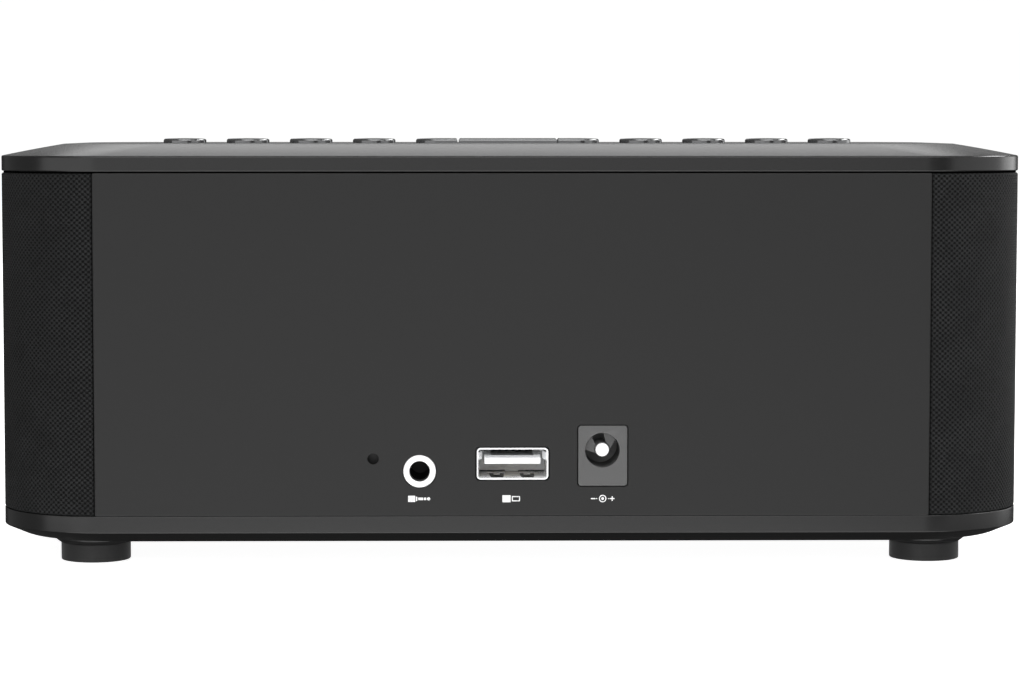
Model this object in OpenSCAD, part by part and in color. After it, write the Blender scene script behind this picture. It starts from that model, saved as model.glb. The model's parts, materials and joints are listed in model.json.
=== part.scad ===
// Tabletop radio: a cloth-wrapped cabinet between a bevelled top cover and a base plate, with a row
// of keys on top, two drivers and a clock display in front, and its sockets at the rear.
// The front faces -Y, the rear +Y, and the feet stand on Z = 0. Left is -X.

/* [Body] */
// Width from side to side
body_w = 190.6; // [190:0.2:200]
// Depth from front to back
body_d = 100; // [98:0.5:110]
// Radius of the upright corners in plan
corner_r = 20; // [18:0.5:21]
// Height of the cloth-covered wall
wall_h = 62.7; // [62.5:0.1:70]
// Thickness of the moulded walls
wall_t = 2.2; // [2:0.1:2.4]
// Thickness of the grille cloth with its backing
cloth_t = 0.9; // [0.7:0.1:1]
// Width of the flat rear panel
panel_w = 152.8; // [150:0.2:153]

/* [Top and base] */
// Height of the top cover's upright rim
rim_h = 2.85; // [2.4:0.05:3.4]
// Shadow gap between the wall and the rim
shadow_gap = 0.25; // [0.2:0.05:0.5]
// How far the top bevel runs in from the rim
top_bevel_run = 10.6; // [8:0.2:13]
// How far the top bevel rises
top_bevel_rise = 2.1; // [1.6:0.1:3]
// Height of the band round the base
band_h = 3.1; // [2.6:0.1:4]
// How far the bottom bevel runs in
bottom_bevel_run = 3.1; // [2:0.1:4]
// How far the bottom bevel drops
bottom_bevel_drop = 1.9; // [1.9:0.1:2.2]

/* [Feet] */
// Height of a rubber foot below its boss
foot_h = 3.4; // [3:0.1:5]
// Radius of a rubber foot
foot_r = 6.5; // [6.2:0.1:7]
// Distance of the feet from the centre, sideways
foot_x = 78; // [76:0.5:80]
// Distance of the feet from the centre, to the front and back
foot_y = 33.5; // [32:0.5:35]

/* [Keys] */
// Radius of a round key
key_r = 4.2; // [4:0.05:4.3]
// Distance from one round key to the next
key_pitch = 12.43; // [12.4:0.01:12.6]
// Distance of the innermost round keys from the centre
key_inner_x = 26.3; // [26.2:0.1:27]
// Height of the keys above the flat of the top cover
key_stand = 0.95; // [0.9:0.05:1.4]
// Length of the bar that is split into three keys
bar_l = 36.1; // [36:0.1:37]
// Half the length of the middle bar key, to the middle of the split
bar_split_x = 9.75; // [9.5:0.05:9.8]

/* [Sockets] */
// Sideways position of the AUX jack
aux_x = 17; // [16.5:0.1:18]
// Radius of the AUX jack's bore, for a 3.5 mm plug
aux_bore_r = 1.8; // [1.76:0.01:1.85]
// Sideways position of the DC jack
dc_x = -16.5; // [-18:0.1:-16]
// Radius of the DC jack's hole, for a 5.5 mm plug
dc_hole_r = 3.15; // [3:0.05:3.2]
// Radius of the DC jack's centre pin
dc_pin_r = 1.25; // [1:0.05:1.25]
// Sideways position of the pinhole
reset_x = 25.5; // [25:0.1:27]

/* [Front] */
// Distance of the drivers from the centre, sideways
driver_x = 56; // [56:0.1:57]
// Width of the display window
window_w = 50; // [46:0.5:50]
// Height of the display window
window_h = 22; // [20:0.5:22]

/* [Hidden] */
$fn = 64;
BEVEL_FN = 96;
SKIN = 0.05;
SOME = 0.5;

// Heights, from the floor up
foot_boss_h = 1.5;
base_z = foot_h + foot_boss_h;
band_z = base_z + bottom_bevel_drop;
band_top = band_z + band_h;
wall_top = band_top + wall_h;
rim_z = wall_top + shadow_gap;
rim_top = rim_z + rim_h;
top_z = rim_top + top_bevel_rise;
key_top = top_z + key_stand;
front_y = -body_d / 2;
rear_y = body_d / 2;

// Base plate
floor_t = 2.2;
floor_top = base_z + floor_t;
band_t = 2.4;
foot_boss_top_r = 7.5;
foot_boss_low_r = 6.65;
foot_cone_h = 0.6;
foot_recess_r = 5;
foot_recess_h = 1.2;
screw_pad_top = 9;
head_seat_z = 7.4;
tongue_top = band_top + 2;

// Fasteners: the shank of a small screw, the hole it cuts its thread in and the hole it passes
// through, then the same for the four long screws in the base
shank_r = 1.05;
pilot_r = 1.1;
clear_r = 1.2;
base_shank_r = 1.45;
base_pilot_r = 1.5;
base_clear_r = 1.7;
base_head_r = 2.6;
driver_clear_r = 1.3;

// Cabinet
fit_gap = 0.2;
inner_inset = cloth_t + wall_t;
tongue_inset = inner_inset + fit_gap;
tongue_t = 1.6;
panel_t = 2.6;
panel_z = band_top;
flange_t = 2.2;
flange_y = rear_y - panel_t - flange_t;
flange_window = [132, 49.5];
flange_window_z = band_top + 2.6;
baffle_y = front_y + 5.4;
baffle_half_w = 82.5;
baffle_z = band_top + 2.3;

// Top cover, keys, key mat and key board
cover_t = 2.5;
cover_under = top_z - cover_t;
key_gap = 0.2;
key_flange_w = 0.95;
key_flange_t = 1;
key_flange_top = cover_under - 0.1;
key_flange_z = key_flange_top - key_flange_t;
key_edge_r = 0.4;
bar_w = 2 * key_r;
bar_gap = 0.25;
key_board_size = [148, 20, 1.6];
key_board_top = cover_under - 5.1;
key_board_z = key_board_top - key_board_size[2];
mat_t = 0.8;
mat_size = [138, 10.4];
mat_top = key_board_top + mat_t;
dome_h = 1.6;
dome_top = key_flange_z - SKIN;
bar_domes = [-14.3, -4.9, 4.9, 14.3];
deck_top = key_board_z - 2.6;
deck_t = 2;
deck_z = deck_top - deck_t;
key_board_screw = [60, 7.5];
cover_screw = [80, 35];
cable_slot = [16, 3, 22];

// Main board and sockets
board_t = 1.6;
board_z = band_top + 3.6;
board_top = board_z + board_t;
board_rear = rear_y - 5.2;
board_front = rear_y - 42;
board_half_w = 50;
board_screw_x = 45;
board_screw_front = rear_y - 38;
board_screw_rear = rear_y - 10;
socket_back = rear_y - 14;
aux_z = band_top + 8.25;
aux_ring_r = 3;
usb_z = band_top + 9.63;
usb_size = [13.1, 5.84];
usb_t = 0.3;
usb_tongue_w = 10.6;
usb_tongue_t = 1.6;
usb_tongue_z = usb_z - 0.1;
dc_z = band_top + 11.07;
dc_size = [9.05, 11.1];
dc_hole_x = dc_x + 0.06;
dc_hole_z = band_top + 12.1;
dc_hole_y = rear_y - 9.5;
reset_z = band_top + 10.55;
reset_hole_r = 1;

// Display
display_z = (band_top + wall_top) / 2;
bezel_w = 2;
bezel_back = front_y + 5;
window_y = front_y + 1.7;
light_box_y = front_y + 2.4;
display_screw = [20, 15.5];
digit_size = [7.4, 13.6];
digit_pitch = 10.4;
digit_bar = 1.5;

// Drivers
driver_z = deck_z - 26;
driver_y = baffle_y + 0.5;
driver_r = 25.5;
driver_hole_r = 21.2;
driver_screw_pcd = 47;

// ---- Shared shapes ----

// Rectangle with round corners, centred
module round_rect(w, d, r) {
    square([w - 2 * r, d], center = true);
    square([w, d - 2 * r], center = true);
    for (x = [-1, 1], y = [-1, 1])
        translate([x * (w / 2 - r), y * (d / 2 - r)]) circle(r);
}

// Bar with half-round ends, centred
module stadium(l, w) {
    square([l - w, w], center = true);
    for (x = [-1, 1]) translate([x * (l - w) / 2, 0]) circle(w / 2);
}

// The body's plan outline as a slab between two heights, drawn in all round by inset
module slab(z0, z1, inset = 0) {
    translate([0, 0, z0]) linear_extrude(z1 - z0)
        round_rect(body_w - 2 * inset, body_d - 2 * inset, corner_r - inset);
}

// One edge of a bevel: a very thin slab that hull() joins to the next
module bevel_edge(z, inset, r) {
    translate([0, 0, z]) linear_extrude(SKIN)
        round_rect(body_w - 2 * inset, body_d - 2 * inset, r, $fn = BEVEL_FN);
}

// Box given by its middle in X, its extent in Y and its extent in Z
module block(x, w, y0, y1, z0, z1) {
    translate([x - w / 2, y0, z0]) cube([w, y1 - y0, z1 - z0]);
}

// Extrudes an X-Z outline from y0 back to y1
module upright(y0, y1) {
    translate([0, y1, 0]) rotate([90, 0, 0]) linear_extrude(y1 - y0) children();
}

// Extrudes a Y-Z outline across a width centred on x
module sideways(x, w) {
    translate([x - w / 2, 0, 0]) rotate([90, 0, 90]) linear_extrude(w) children();
}

// Cylinder along Y
module drum(x, z, r, y0, y1) {
    translate([x, y0, z]) rotate([-90, 0, 0]) cylinder(r = r, h = y1 - y0);
}

// Cross-head screw: its head lies below z = 0 and its shank runs up from there
module screw(head_r, head_h, shank_r, shank_l) {
    slot_w = head_r * 0.3;
    difference() {
        union() {
            translate([0, 0, -head_h]) cylinder(r = head_r, h = head_h);
            cylinder(r = shank_r, h = shank_l);
        }
        for (a = [0, 90]) rotate(a) translate([-head_r * 0.6, -slot_w / 2, -head_h - SOME])
            cube([head_r * 1.2, slot_w, head_h * 0.5 + SOME]);
    }
}

// Round wire through a list of points
module wire(points, r) {
    for (i = [0:len(points) - 2]) {
        run = points[i + 1] - points[i];
        translate(points[i])
            rotate([0, acos(run[2] / norm(run)), atan2(run[1], run[0])])
                cylinder(r = r, h = norm(run), $fn = 24);
    }
    for (i = [1:len(points) - 2]) translate(points[i]) sphere(r * 1.06, $fn = 24);
}

// Repeats its children at the four corners of a rectangle
module corners(x, y) {
    for (sx = [-1, 1], sy = [-1, 1]) translate([sx * x, sy * y, 0]) children();
}

// ---- Casing ----

function key_x(n) = n <= 4 ? -key_inner_x - (4 - n) * key_pitch : key_inner_x + (n - 5) * key_pitch;

module cover_lip() {
    difference() {
        slab(rim_z - 2.2, cover_under + SOME, tongue_inset);
        slab(rim_z - 3, cover_under + 1, tongue_inset + tongue_t);
        block(0, 160, flange_y - 3, rear_y, rim_z - 3, rim_z);
    }
}

module top_cover() color("#3c3c3e") {
    difference() {
        union() {
            slab(rim_z, rim_top);
            hull() {
                bevel_edge(rim_top - SKIN, 0, corner_r);
                bevel_edge(top_z - SKIN, top_bevel_run, corner_r);
            }
        }
        slab(rim_z - 1, cover_under, wall_t);
        for (n = [1:8]) translate([key_x(n), 0, cover_under - 1])
            cylinder(r = key_r + key_gap, h = cover_t + 2);
        translate([0, 0, cover_under - 1]) linear_extrude(cover_t + 2)
            stadium(bar_l + 2 * key_gap, bar_w + 2 * key_gap);
    }
    cover_lip();
    difference() {
        corners(cover_screw[0], cover_screw[1])
            translate([0, 0, deck_top]) cylinder(r = 3, h = cover_under + SOME - deck_top);
        corners(cover_screw[0], cover_screw[1])
            translate([0, 0, deck_top - 1]) cylinder(r = pilot_r, h = 8);
    }
}

// Openings through the front baffle
module baffle_openings() {
    for (x = [-1, 1]) drum(x * driver_x, driver_z, driver_hole_r, front_y - 1, baffle_y + 1);
    upright(front_y - 1, baffle_y + 1) translate([0, display_z]) bezel_outline(fit_gap);
}

// Places its children where the eight driver screws go, pointing forward
module driver_screw_places() {
    for (x = [-1, 1], a = [45:90:315])
        translate([x * driver_x, driver_y + 1, driver_z]) rotate([90, 0, 0])
            rotate(a) translate([driver_screw_pcd / 2, 0, 0]) children();
}

// Places its children where the display board's screws go, pointing forward
module display_screw_places() {
    for (x = [-1, 1], z = [-1, 1])
        translate([x * display_screw[0], baffle_y + board_t, display_z + z * display_screw[1]])
            rotate([90, 0, 0]) children();
}

// Places its children where the rear panel's screws go, pointing back
module panel_screw_places() {
    for (x = [-1, 1], z = [panel_z + 10, wall_top - 12])
        translate([x * (panel_w / 2 - 5.4), flange_y, z]) rotate([-90, 0, 0]) children();
}

module cabinet_walls() {
    difference() {
        union() {
            difference() {
                slab(band_top, wall_top, cloth_t);
                slab(band_top - 1, wall_top + 1, inner_inset);
            }
            block(0, panel_w + 4, flange_y, rear_y - panel_t, band_top, wall_top);
        }
        block(0, panel_w + 2 * fit_gap, rear_y - panel_t, rear_y, band_top - 1, wall_top + 1);
        block(0, flange_window[0], flange_y - 1, rear_y, flange_window_z,
            flange_window_z + flange_window[1]);
    }
    intersection() {
        slab(baffle_z, deck_top, cloth_t + 0.01);
        block(0, 2 * baffle_half_w, front_y, baffle_y, baffle_z, deck_top);
    }
    slab(deck_z, deck_top, inner_inset - 0.1);
}

module cabinet() color("#242426") {
    difference() {
        union() {
            cabinet_walls();
            corners(key_board_screw[0], key_board_screw[1])
                translate([0, 0, deck_z + 1]) cylinder(r = 2.8, h = key_board_z - deck_z - 1);
            corners(foot_x, foot_y) translate([0, 0, screw_pad_top])
                cylinder(r = 4, h = 20);
            for (x = [-1, 1], y = [-1, 1])
                block(x * (foot_x + 9), 12, y * foot_y - 1, y * foot_y + 1, tongue_top + 0.3,
                    screw_pad_top + 20);
        }
        baffle_openings();
        corners(key_board_screw[0], key_board_screw[1])
            translate([0, 0, deck_z + SOME]) cylinder(r = pilot_r, h = 8);
        corners(cover_screw[0], cover_screw[1])
            translate([0, 0, deck_z - 1]) cylinder(r = clear_r + 0.2, h = 5);
        corners(foot_x, foot_y)
            translate([0, 0, screw_pad_top - 1]) cylinder(r = base_pilot_r, h = 13);
        driver_screw_places() translate([0, 0, -1]) cylinder(r = pilot_r, h = 5.6);
        display_screw_places() cylinder(r = pilot_r, h = 4.8);
        panel_screw_places() translate([0, 0, -1]) cylinder(r = clear_r, h = 5);
        block(0, cable_slot[0], cable_slot[2] - cable_slot[1] / 2,
            cable_slot[2] + cable_slot[1] / 2, deck_z - 1, deck_top + 1);
    }
}

module grille_cloth() color("#1b1b1d") {
    difference() {
        slab(band_top + 0.1, wall_top - 0.1);
        slab(band_top - 1, wall_top + 1, cloth_t);
        block(0, panel_w + 0.3, rear_y - 6, rear_y + 1, band_top - 1, wall_top + 1);
        upright(front_y - 1, front_y + 3) translate([0, display_z]) bezel_outline(fit_gap);
    }
}

module rear_panel() color("#3d3d3e") {
    difference() {
        block(0, panel_w, rear_y - panel_t, rear_y, panel_z, wall_top);
        drum(aux_x, aux_z, aux_ring_r + 0.1, rear_y - 5, rear_y + 1);
        block(0, usb_size[0] + 0.4, rear_y - 5, rear_y + 1,
            usb_z - usb_size[1] / 2 - 0.2, usb_z + usb_size[1] / 2 + 0.2);
        block(dc_x, dc_size[0] + 0.2, rear_y - 5, rear_y + 1,
            dc_z - dc_size[1] / 2 - 0.1, dc_z + dc_size[1] / 2 + 0.1);
        drum(reset_x, reset_z, reset_hole_r, rear_y - 5, rear_y + 1);
        panel_screw_places() cylinder(r = pilot_r, h = flange_t + 1.9);
    }
}

module base_tongue() {
    difference() {
        slab(floor_top - 1, tongue_top, tongue_inset);
        slab(floor_top - 2, tongue_top + 1, tongue_inset + tongue_t);
        block(0, 160, flange_y - 3, rear_y, floor_top, tongue_top + 1);
    }
}

module base_plate() color("#3a3a3c") {
    difference() {
        union() {
            difference() {
                union() {
                    slab(band_z, band_top);
                    hull() {
                        bevel_edge(band_z, 0, corner_r);
                        bevel_edge(base_z, bottom_bevel_run, corner_r + 0.8);
                    }
                }
                slab(floor_top, band_top + 1, band_t);
            }
            corners(foot_x, foot_y) {
                translate([0, 0, foot_h])
                    cylinder(r1 = foot_boss_low_r, r2 = foot_boss_top_r, h = foot_cone_h);
                translate([0, 0, foot_h + foot_cone_h])
                    cylinder(r = foot_boss_top_r, h = foot_boss_h - foot_cone_h + floor_t / 2);
            }
            corners(foot_x, foot_y) translate([0, 0, base_z + 1])
                cylinder(r = 6, h = screw_pad_top - base_z - 1);
            for (x = [-1, 1], y = [board_screw_front, board_screw_rear])
                translate([x * board_screw_x, y, base_z + 1])
                    cylinder(r = 3, h = board_z - base_z - 1);
            base_tongue();
        }
        corners(foot_x, foot_y) {
            translate([0, 0, foot_h - 1]) cylinder(r = foot_recess_r, h = foot_recess_h + 1);
            translate([0, 0, foot_h]) cylinder(r = base_head_r + 0.3, h = head_seat_z - foot_h);
            translate([0, 0, foot_h]) cylinder(r = base_clear_r, h = 6);
        }
        for (x = [-1, 1], y = [board_screw_front, board_screw_rear])
            translate([x * board_screw_x, y, board_z - 5]) cylinder(r = pilot_r, h = 6);
    }
}

// Profile of a foot, with its lower edge rounded
module foot_profile() {
    edge = 0.8;
    square([foot_r - edge, foot_h]);
    translate([0, edge]) square([foot_r, foot_h - edge]);
    translate([foot_r - edge, edge]) circle(edge, $fn = 32);
    square([foot_recess_r - 0.1, foot_h + foot_recess_h - 0.2]);
}

module foot(sx, sy) color("#1c1c1d") {
    translate([sx * foot_x, sy * foot_y, 0]) rotate_extrude() foot_profile();
}

// ---- Keys ----

// Profile of a round key: cap with a rounded top edge, over the flange that stops it
module key_profile() {
    square([key_r - key_edge_r, key_top - key_flange_z]);
    square([key_r, key_top - key_flange_z - key_edge_r]);
    translate([key_r - key_edge_r, key_top - key_flange_z - key_edge_r])
        circle(key_edge_r, $fn = 32);
    square([key_r + key_flange_w, key_flange_t]);
}

module round_key(n) color("#4e4f52") {
    translate([key_x(n), 0, key_flange_z]) rotate_extrude() key_profile();
}

// One stretch of the bar, from x0 to x1
module bar_key(x0, x1) color("#4e4f52") {
    translate([0, 0, key_flange_z]) linear_extrude(key_top - key_flange_z) intersection() {
        stadium(bar_l, bar_w);
        translate([x0, -bar_w]) square([x1 - x0, 2 * bar_w]);
    }
    translate([0, 0, key_flange_z]) linear_extrude(key_flange_t) intersection() {
        stadium(bar_l + 2 * key_flange_w, bar_w + 2 * key_flange_w);
        translate([x0, -bar_w]) square([x1 - x0, 2 * bar_w]);
    }
}

// One hollow rubber dome with the post that carries a key
module dome(x) {
    translate([x, 0, 0]) difference() {
        union() {
            translate([0, 0, mat_top - 0.1]) cylinder(r1 = 4.3, r2 = 3.2, h = dome_h + 0.1);
            translate([0, 0, mat_top + dome_h - 0.2])
                cylinder(r = 3, h = dome_top - mat_top - dome_h + 0.2);
        }
        translate([0, 0, key_board_top - 0.1]) cylinder(r1 = 3.7, r2 = 2.4, h = dome_h + mat_t - 0.7);
    }
}

module key_mat() color("#5a5c60") {
    difference() {
        translate([0, 0, key_board_top]) linear_extrude(mat_t) square(mat_size, center = true);
        for (x = [for (n = [1:8]) key_x(n), for (b = bar_domes) b])
            translate([x, 0, key_board_top - 1]) cylinder(r = 4, h = 3);
    }
    for (n = [1:8]) dome(key_x(n));
    for (b = bar_domes) dome(b);
}

module key_board() color("#20552f") {
    difference() {
        translate([0, 0, key_board_z]) linear_extrude(key_board_size[2])
            square([key_board_size[0], key_board_size[1]], center = true);
        corners(key_board_screw[0], key_board_screw[1])
            translate([0, 0, key_board_z - 1]) cylinder(r = clear_r, h = 4);
    }
}

// ---- Main board ----

module main_board() color("#20552f") {
    difference() {
        block(0, 2 * board_half_w, board_front, board_rear, board_z, board_top);
        for (x = [-1, 1], y = [board_screw_front, board_screw_rear])
            translate([x * board_screw_x, y, board_z - 1]) cylinder(r = clear_r, h = 4);
    }
}

// Upright can capacitor
module capacitor(x, y, r, h) {
    translate([x, y, board_top]) cylinder(r = r, h = h);
}

module board_parts() color("#2c2c30") {
    // amplifier, processor and memory
    block(-26, 7, rear_y - 30, rear_y - 20, board_top, board_top + 1.2);
    block(8, 9, rear_y - 27, rear_y - 18, board_top, board_top + 1);
    block(-9, 6, rear_y - 25, rear_y - 20, board_top, board_top + 1.2);
    // power smoothing
    for (i = [0:2]) capacitor(-42 + 9 * i, rear_y - 16, 3.15, 9);
    for (i = [0:1]) block(-42 + 9 * i, 6, rear_y - 28, rear_y - 22, board_top, board_top + 3.4);
    // sockets for the ribbon cable and the driver leads
    block(0, 16, rear_y - 30, rear_y - 28.4, board_top, board_top + 4);
    for (x = [-34, 34]) block(x, 5, rear_y - 39, rear_y - 33, board_top, board_top + 4);
    // socket under the key board
    block(0, 15, 3, 7, key_board_z - 2, key_board_z);
    // riser below the USB receptacle and feet below the DC jack
    block(0, 12, rear_y - 13, rear_y - 5.4, board_top, usb_z - usb_size[1] / 2);
    block(dc_x, 7, rear_y - 13, rear_y - 5.4, board_top, dc_z - dc_size[1] / 2);
}

module tuner_shield() color("#b8babd") {
    can_t = 0.4;
    difference() {
        block(28, 24, rear_y - 32, rear_y - 17, board_top, board_top + 3.6);
        block(28, 24 - 2 * can_t, rear_y - 32 + can_t, rear_y - 17 - can_t,
            board_top - 1, board_top + 3.6 - can_t);
    }
}

// ---- Rear sockets ----

module aux_jack_body() color("#161617") {
    difference() {
        block(aux_x, 6.2, socket_back - 1, rear_y - panel_t - 0.1, board_top, board_top + 6.1);
        drum(aux_x, aux_z, aux_bore_r, socket_back, rear_y);
    }
}

module aux_jack_ring() color("#e4e5e6") {
    difference() {
        drum(aux_x, aux_z, aux_ring_r, rear_y - panel_t - 0.1, rear_y);
        drum(aux_x, aux_z, aux_bore_r, rear_y - 5, rear_y + 1);
    }
}

module usb_shell() color("#d3d5d8") {
    w = usb_size[0];
    h = usb_size[1];
    difference() {
        block(0, w, socket_back, rear_y, usb_z - h / 2, usb_z + h / 2);
        block(0, w - 2 * usb_t, socket_back - 1, rear_y + 1,
            usb_z - h / 2 + usb_t, usb_z + h / 2 - usb_t);
        for (x = [-2.8, 2.8])
            block(x, 2.4, rear_y - 6.5, rear_y - 1.5, usb_z - h, usb_z - h / 2 + 1);
    }
}

module usb_insulator() color("#f1f1ee") {
    h = usb_size[1] - 2 * usb_t - 0.1;
    block(0, usb_size[0] - 2 * usb_t - 0.1, socket_back + 0.1, socket_back + 3,
        usb_z - h / 2, usb_z + h / 2);
    block(0, usb_tongue_w, socket_back + 2, rear_y - 1, usb_tongue_z, usb_tongue_z + usb_tongue_t);
}

module usb_contacts() color("#c9a441") {
    contact_t = 0.12;
    for (x = [-3.5, -1, 1, 3.5])
        block(x, 1, socket_back + 3, rear_y - 2.6, usb_tongue_z - contact_t, usb_tongue_z);
}

module dc_jack_body() color("#626264") {
    difference() {
        block(dc_x, dc_size[0], socket_back, rear_y, dc_z - dc_size[1] / 2, dc_z + dc_size[1] / 2);
        drum(dc_hole_x, dc_hole_z, dc_hole_r, dc_hole_y, rear_y + 1);
        drum(dc_hole_x, dc_hole_z, 1.05, socket_back - 1, rear_y);
    }
}

module dc_pin() color("#dfe0e1") {
    drum(dc_hole_x, dc_hole_z, dc_pin_r, dc_hole_y, rear_y - 1.1);
    drum(dc_hole_x, dc_hole_z, 1, socket_back - 1, dc_hole_y + SOME);
    translate([dc_hole_x, rear_y - 1.1, dc_hole_z]) rotate([-90, 0, 0])
        cylinder(r1 = dc_pin_r, r2 = dc_pin_r * 0.6, h = 0.4);
}

module reset_switch() color("#2a2a2c") {
    difference() {
        block(reset_x, 6, rear_y - 10, rear_y - 4, board_top, reset_z + 3);
        drum(reset_x, reset_z, 1.5, rear_y - 7, rear_y);
    }
}

module reset_button() color("#101011") {
    drum(reset_x, reset_z, 1.3, rear_y - 6.4, rear_y - panel_t - 0.4);
}

// ---- Display ----

module bezel_outline(grow = 0) {
    round_rect(window_w + 2 * (bezel_w + grow), window_h + 2 * (bezel_w + grow), 5 + grow);
}

module display_bezel() color("#101012") {
    difference() {
        upright(front_y, bezel_back) translate([0, display_z]) bezel_outline();
        upright(front_y - 1, window_y) translate([0, display_z]) round_rect(window_w, window_h, 3);
        upright(front_y, bezel_back + 1) translate([0, display_z])
            round_rect(window_w - 3, window_h - 3, 2);
    }
}

module display_window() color("#08090b") {
    upright(front_y + 0.2, window_y) translate([0, display_z])
        round_rect(window_w - 0.2, window_h - 0.2, 2.9);
}

module display_board() color("#1d4a2a") {
    difference() {
        upright(baffle_y, baffle_y + board_t) translate([0, display_z]) square([57, 36], center = true);
        display_screw_places() translate([0, 0, -1]) cylinder(r = clear_r, h = 4);
    }
    upright(light_box_y, baffle_y + SOME) translate([0, display_z])
        round_rect(window_w - 3.6, window_h - 3.6, 1.8);
}

// The bars that are lit for a digit: 0 to 2 lie flat from the top down, 3 to 6 stand
function lit(digit) = digit == 0 ? [0, 2, 3, 4, 5, 6]
    : digit == 1 ? [4, 6]
    : digit == 3 ? [0, 1, 2, 4, 6]
    : [0, 1, 2, 3, 4, 5, 6];

// One bar of a digit
module digit_piece(i) {
    half_w = digit_size[0] / 2;
    half_h = digit_size[1] / 2;
    if (i < 3) translate([0, (1 - i) * (half_h - digit_bar / 2)])
        square([digit_size[0] - 2 * digit_bar - 0.4, digit_bar], center = true);
    else translate([(i % 2 == 0 ? 1 : -1) * (half_w - digit_bar / 2), (i < 5 ? 1 : -1) * half_h / 2])
        square([digit_bar, half_h - digit_bar * 0.7], center = true);
}

module display_digits() color("#e8f2ff") {
    digits = [1, 0, 3, 0];
    upright(light_box_y - 0.4, light_box_y) translate([0, display_z]) {
        for (k = [0:3]) translate([(k - 1.5) * digit_pitch + (k < 2 ? -1.2 : 1.2), 0])
            for (i = lit(digits[k])) digit_piece(i);
        for (z = [-2.6, 2.6]) translate([0, z]) square(1.5, center = true);
    }
}

// ---- Drivers ----

// Places a driver's profile, radius by distance behind the front of its flange
module driver(side) {
    translate([side * driver_x, driver_y, driver_z]) rotate([-90, 0, 0]) children();
}

module driver_frame(side) color("#3a3a3e") driver(side) difference() {
    rotate_extrude() polygon([[20.45, 0], [driver_r, 0], [driver_r, 1], [21.6, 1], [14, 13],
        [14, 14.2], [8, 14.2], [8, 13], [12.9, 13], [20.45, 1]]);
    for (a = [0:90:270]) rotate(a) translate([11, -6, 4]) cube([14, 12, 6.5]);
    for (a = [45:90:315]) rotate(a)
        translate([driver_screw_pcd / 2, 0, -1]) cylinder(r = driver_clear_r, h = 3);
}

module driver_magnet(side) color("#55565a") driver(side) {
    rotate_extrude() polygon([[7.4, 14.2], [15, 14.2], [15, 17], [16, 17], [16, 25], [15, 25],
        [15, 28], [0, 28], [0, 14.6], [5.8, 14.6], [5.8, 25], [9, 25], [9, 17], [7.4, 17]]);
}

// Half roll, with a flange that lies on the front of the frame
module driver_surround(side) color("#222224") driver(side) rotate_extrude() {
    roll_r = 1.85;
    translate([18.55, 0.9]) difference() {
        circle(roll_r);
        circle(roll_r - 0.5);
        translate([-3, 0]) square([6, 3]);
    }
    translate([19.7, -0.4]) square([1.4, 0.4]);
}

module driver_spider(side) color("#b58b4a") driver(side) difference() {
    union() {
        translate([0, 0, 9]) cylinder(r = 14.8, h = 0.5);
        for (r = [9, 12]) translate([0, 0, 8.6]) difference() {
            cylinder(r = r + 0.9, h = 1.2);
            translate([0, 0, -1]) cylinder(r = r - 0.9, h = 4);
        }
    }
    translate([0, 0, 7]) cylinder(r = 7.1, h = 5);
}

module driver_cone(side) color("#2b2b2e") driver(side) {
    cap_r = 9;
    edge_r = 6.8;
    cap_rise = sqrt(cap_r * cap_r - edge_r * edge_r);
    rotate_extrude() polygon([[16.5, 0.6], [16.5, 1.2], [6.8, 7.7], [6.2, 7.7], [6.2, 7]]);
    rotate_extrude() intersection() {
        translate([0, 7.2 + cap_rise]) difference() {
            circle(cap_r, $fn = 96);
            circle(cap_r - 0.4, $fn = 96);
        }
        square([edge_r, 7.4]);
    }
}

module driver_coil(side) color("#b06a34") driver(side) difference() {
    translate([0, 0, 7.7]) cylinder(r = 6.8, h = 11.3);
    translate([0, 0, 7]) cylinder(r = 6.3, h = 13);
}

module driver_gaskets() color("#2e2e30") {
    for (x = [-1, 1]) difference() {
        drum(x * driver_x, driver_z, driver_r, baffle_y, driver_y);
        drum(x * driver_x, driver_z, driver_hole_r, baffle_y - 1, driver_y + 1);
        driver_screw_places() translate([0, 0, -1]) cylinder(r = driver_clear_r, h = 5);
    }
}

// ---- Fasteners ----

module base_screws() color("#8c8e92") {
    corners(foot_x, foot_y) translate([0, 0, head_seat_z]) screw(base_head_r, 1.6, base_shank_r, 12);
}

module panel_screws() color("#8c8e92") {
    panel_screw_places() screw(2, 1.3, shank_r, 3.9);
}

module cover_screws() color("#8c8e92") {
    corners(cover_screw[0], cover_screw[1]) translate([0, 0, deck_z]) screw(2.4, 1.6, shank_r, 8.5);
}

module driver_screws() color("#8c8e92") {
    driver_screw_places() screw(1.9, 1.2, shank_r, 4.3);
}

module board_screws() color("#8c8e92") {
    for (x = [-1, 1], y = [board_screw_front, board_screw_rear])
        translate([x * board_screw_x, y, board_top]) rotate([180, 0, 0]) screw(2, 1.3, shank_r, 6);
    corners(key_board_screw[0], key_board_screw[1])
        translate([0, 0, key_board_top]) rotate([180, 0, 0]) screw(1.9, 1.2, shank_r, 5);
    display_screw_places() screw(1.9, 1.2, shank_r, 4.4);
}

// ---- Cables ----

module ribbon_cable() color("#8f9298") {
    t = 0.4;
    rise_y = rear_y - 28.2;
    run_z = key_board_z - 1.3;
    socket_top = board_top + 4;
    sideways(0, 12) polygon([[7, run_z], [rise_y, run_z], [rise_y, socket_top - 3],
        [rise_y + t, socket_top - 3], [rise_y + t, run_z + t], [7, run_z + t]]);
}

module driver_leads() color("#b03030") {
    lead_r = 0.8;
    for (side = [-1, 1]) {
        lead_x = side * 34;
        lead_y = rear_y - 36;
        frame_y = driver_y + 12.6;
        wire([[lead_x, lead_y, board_top + 4], [lead_x, lead_y, driver_z],
            [lead_x, frame_y, driver_z], [side * (driver_x - 14.4), frame_y, driver_z]], lead_r);
    }
}

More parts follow.
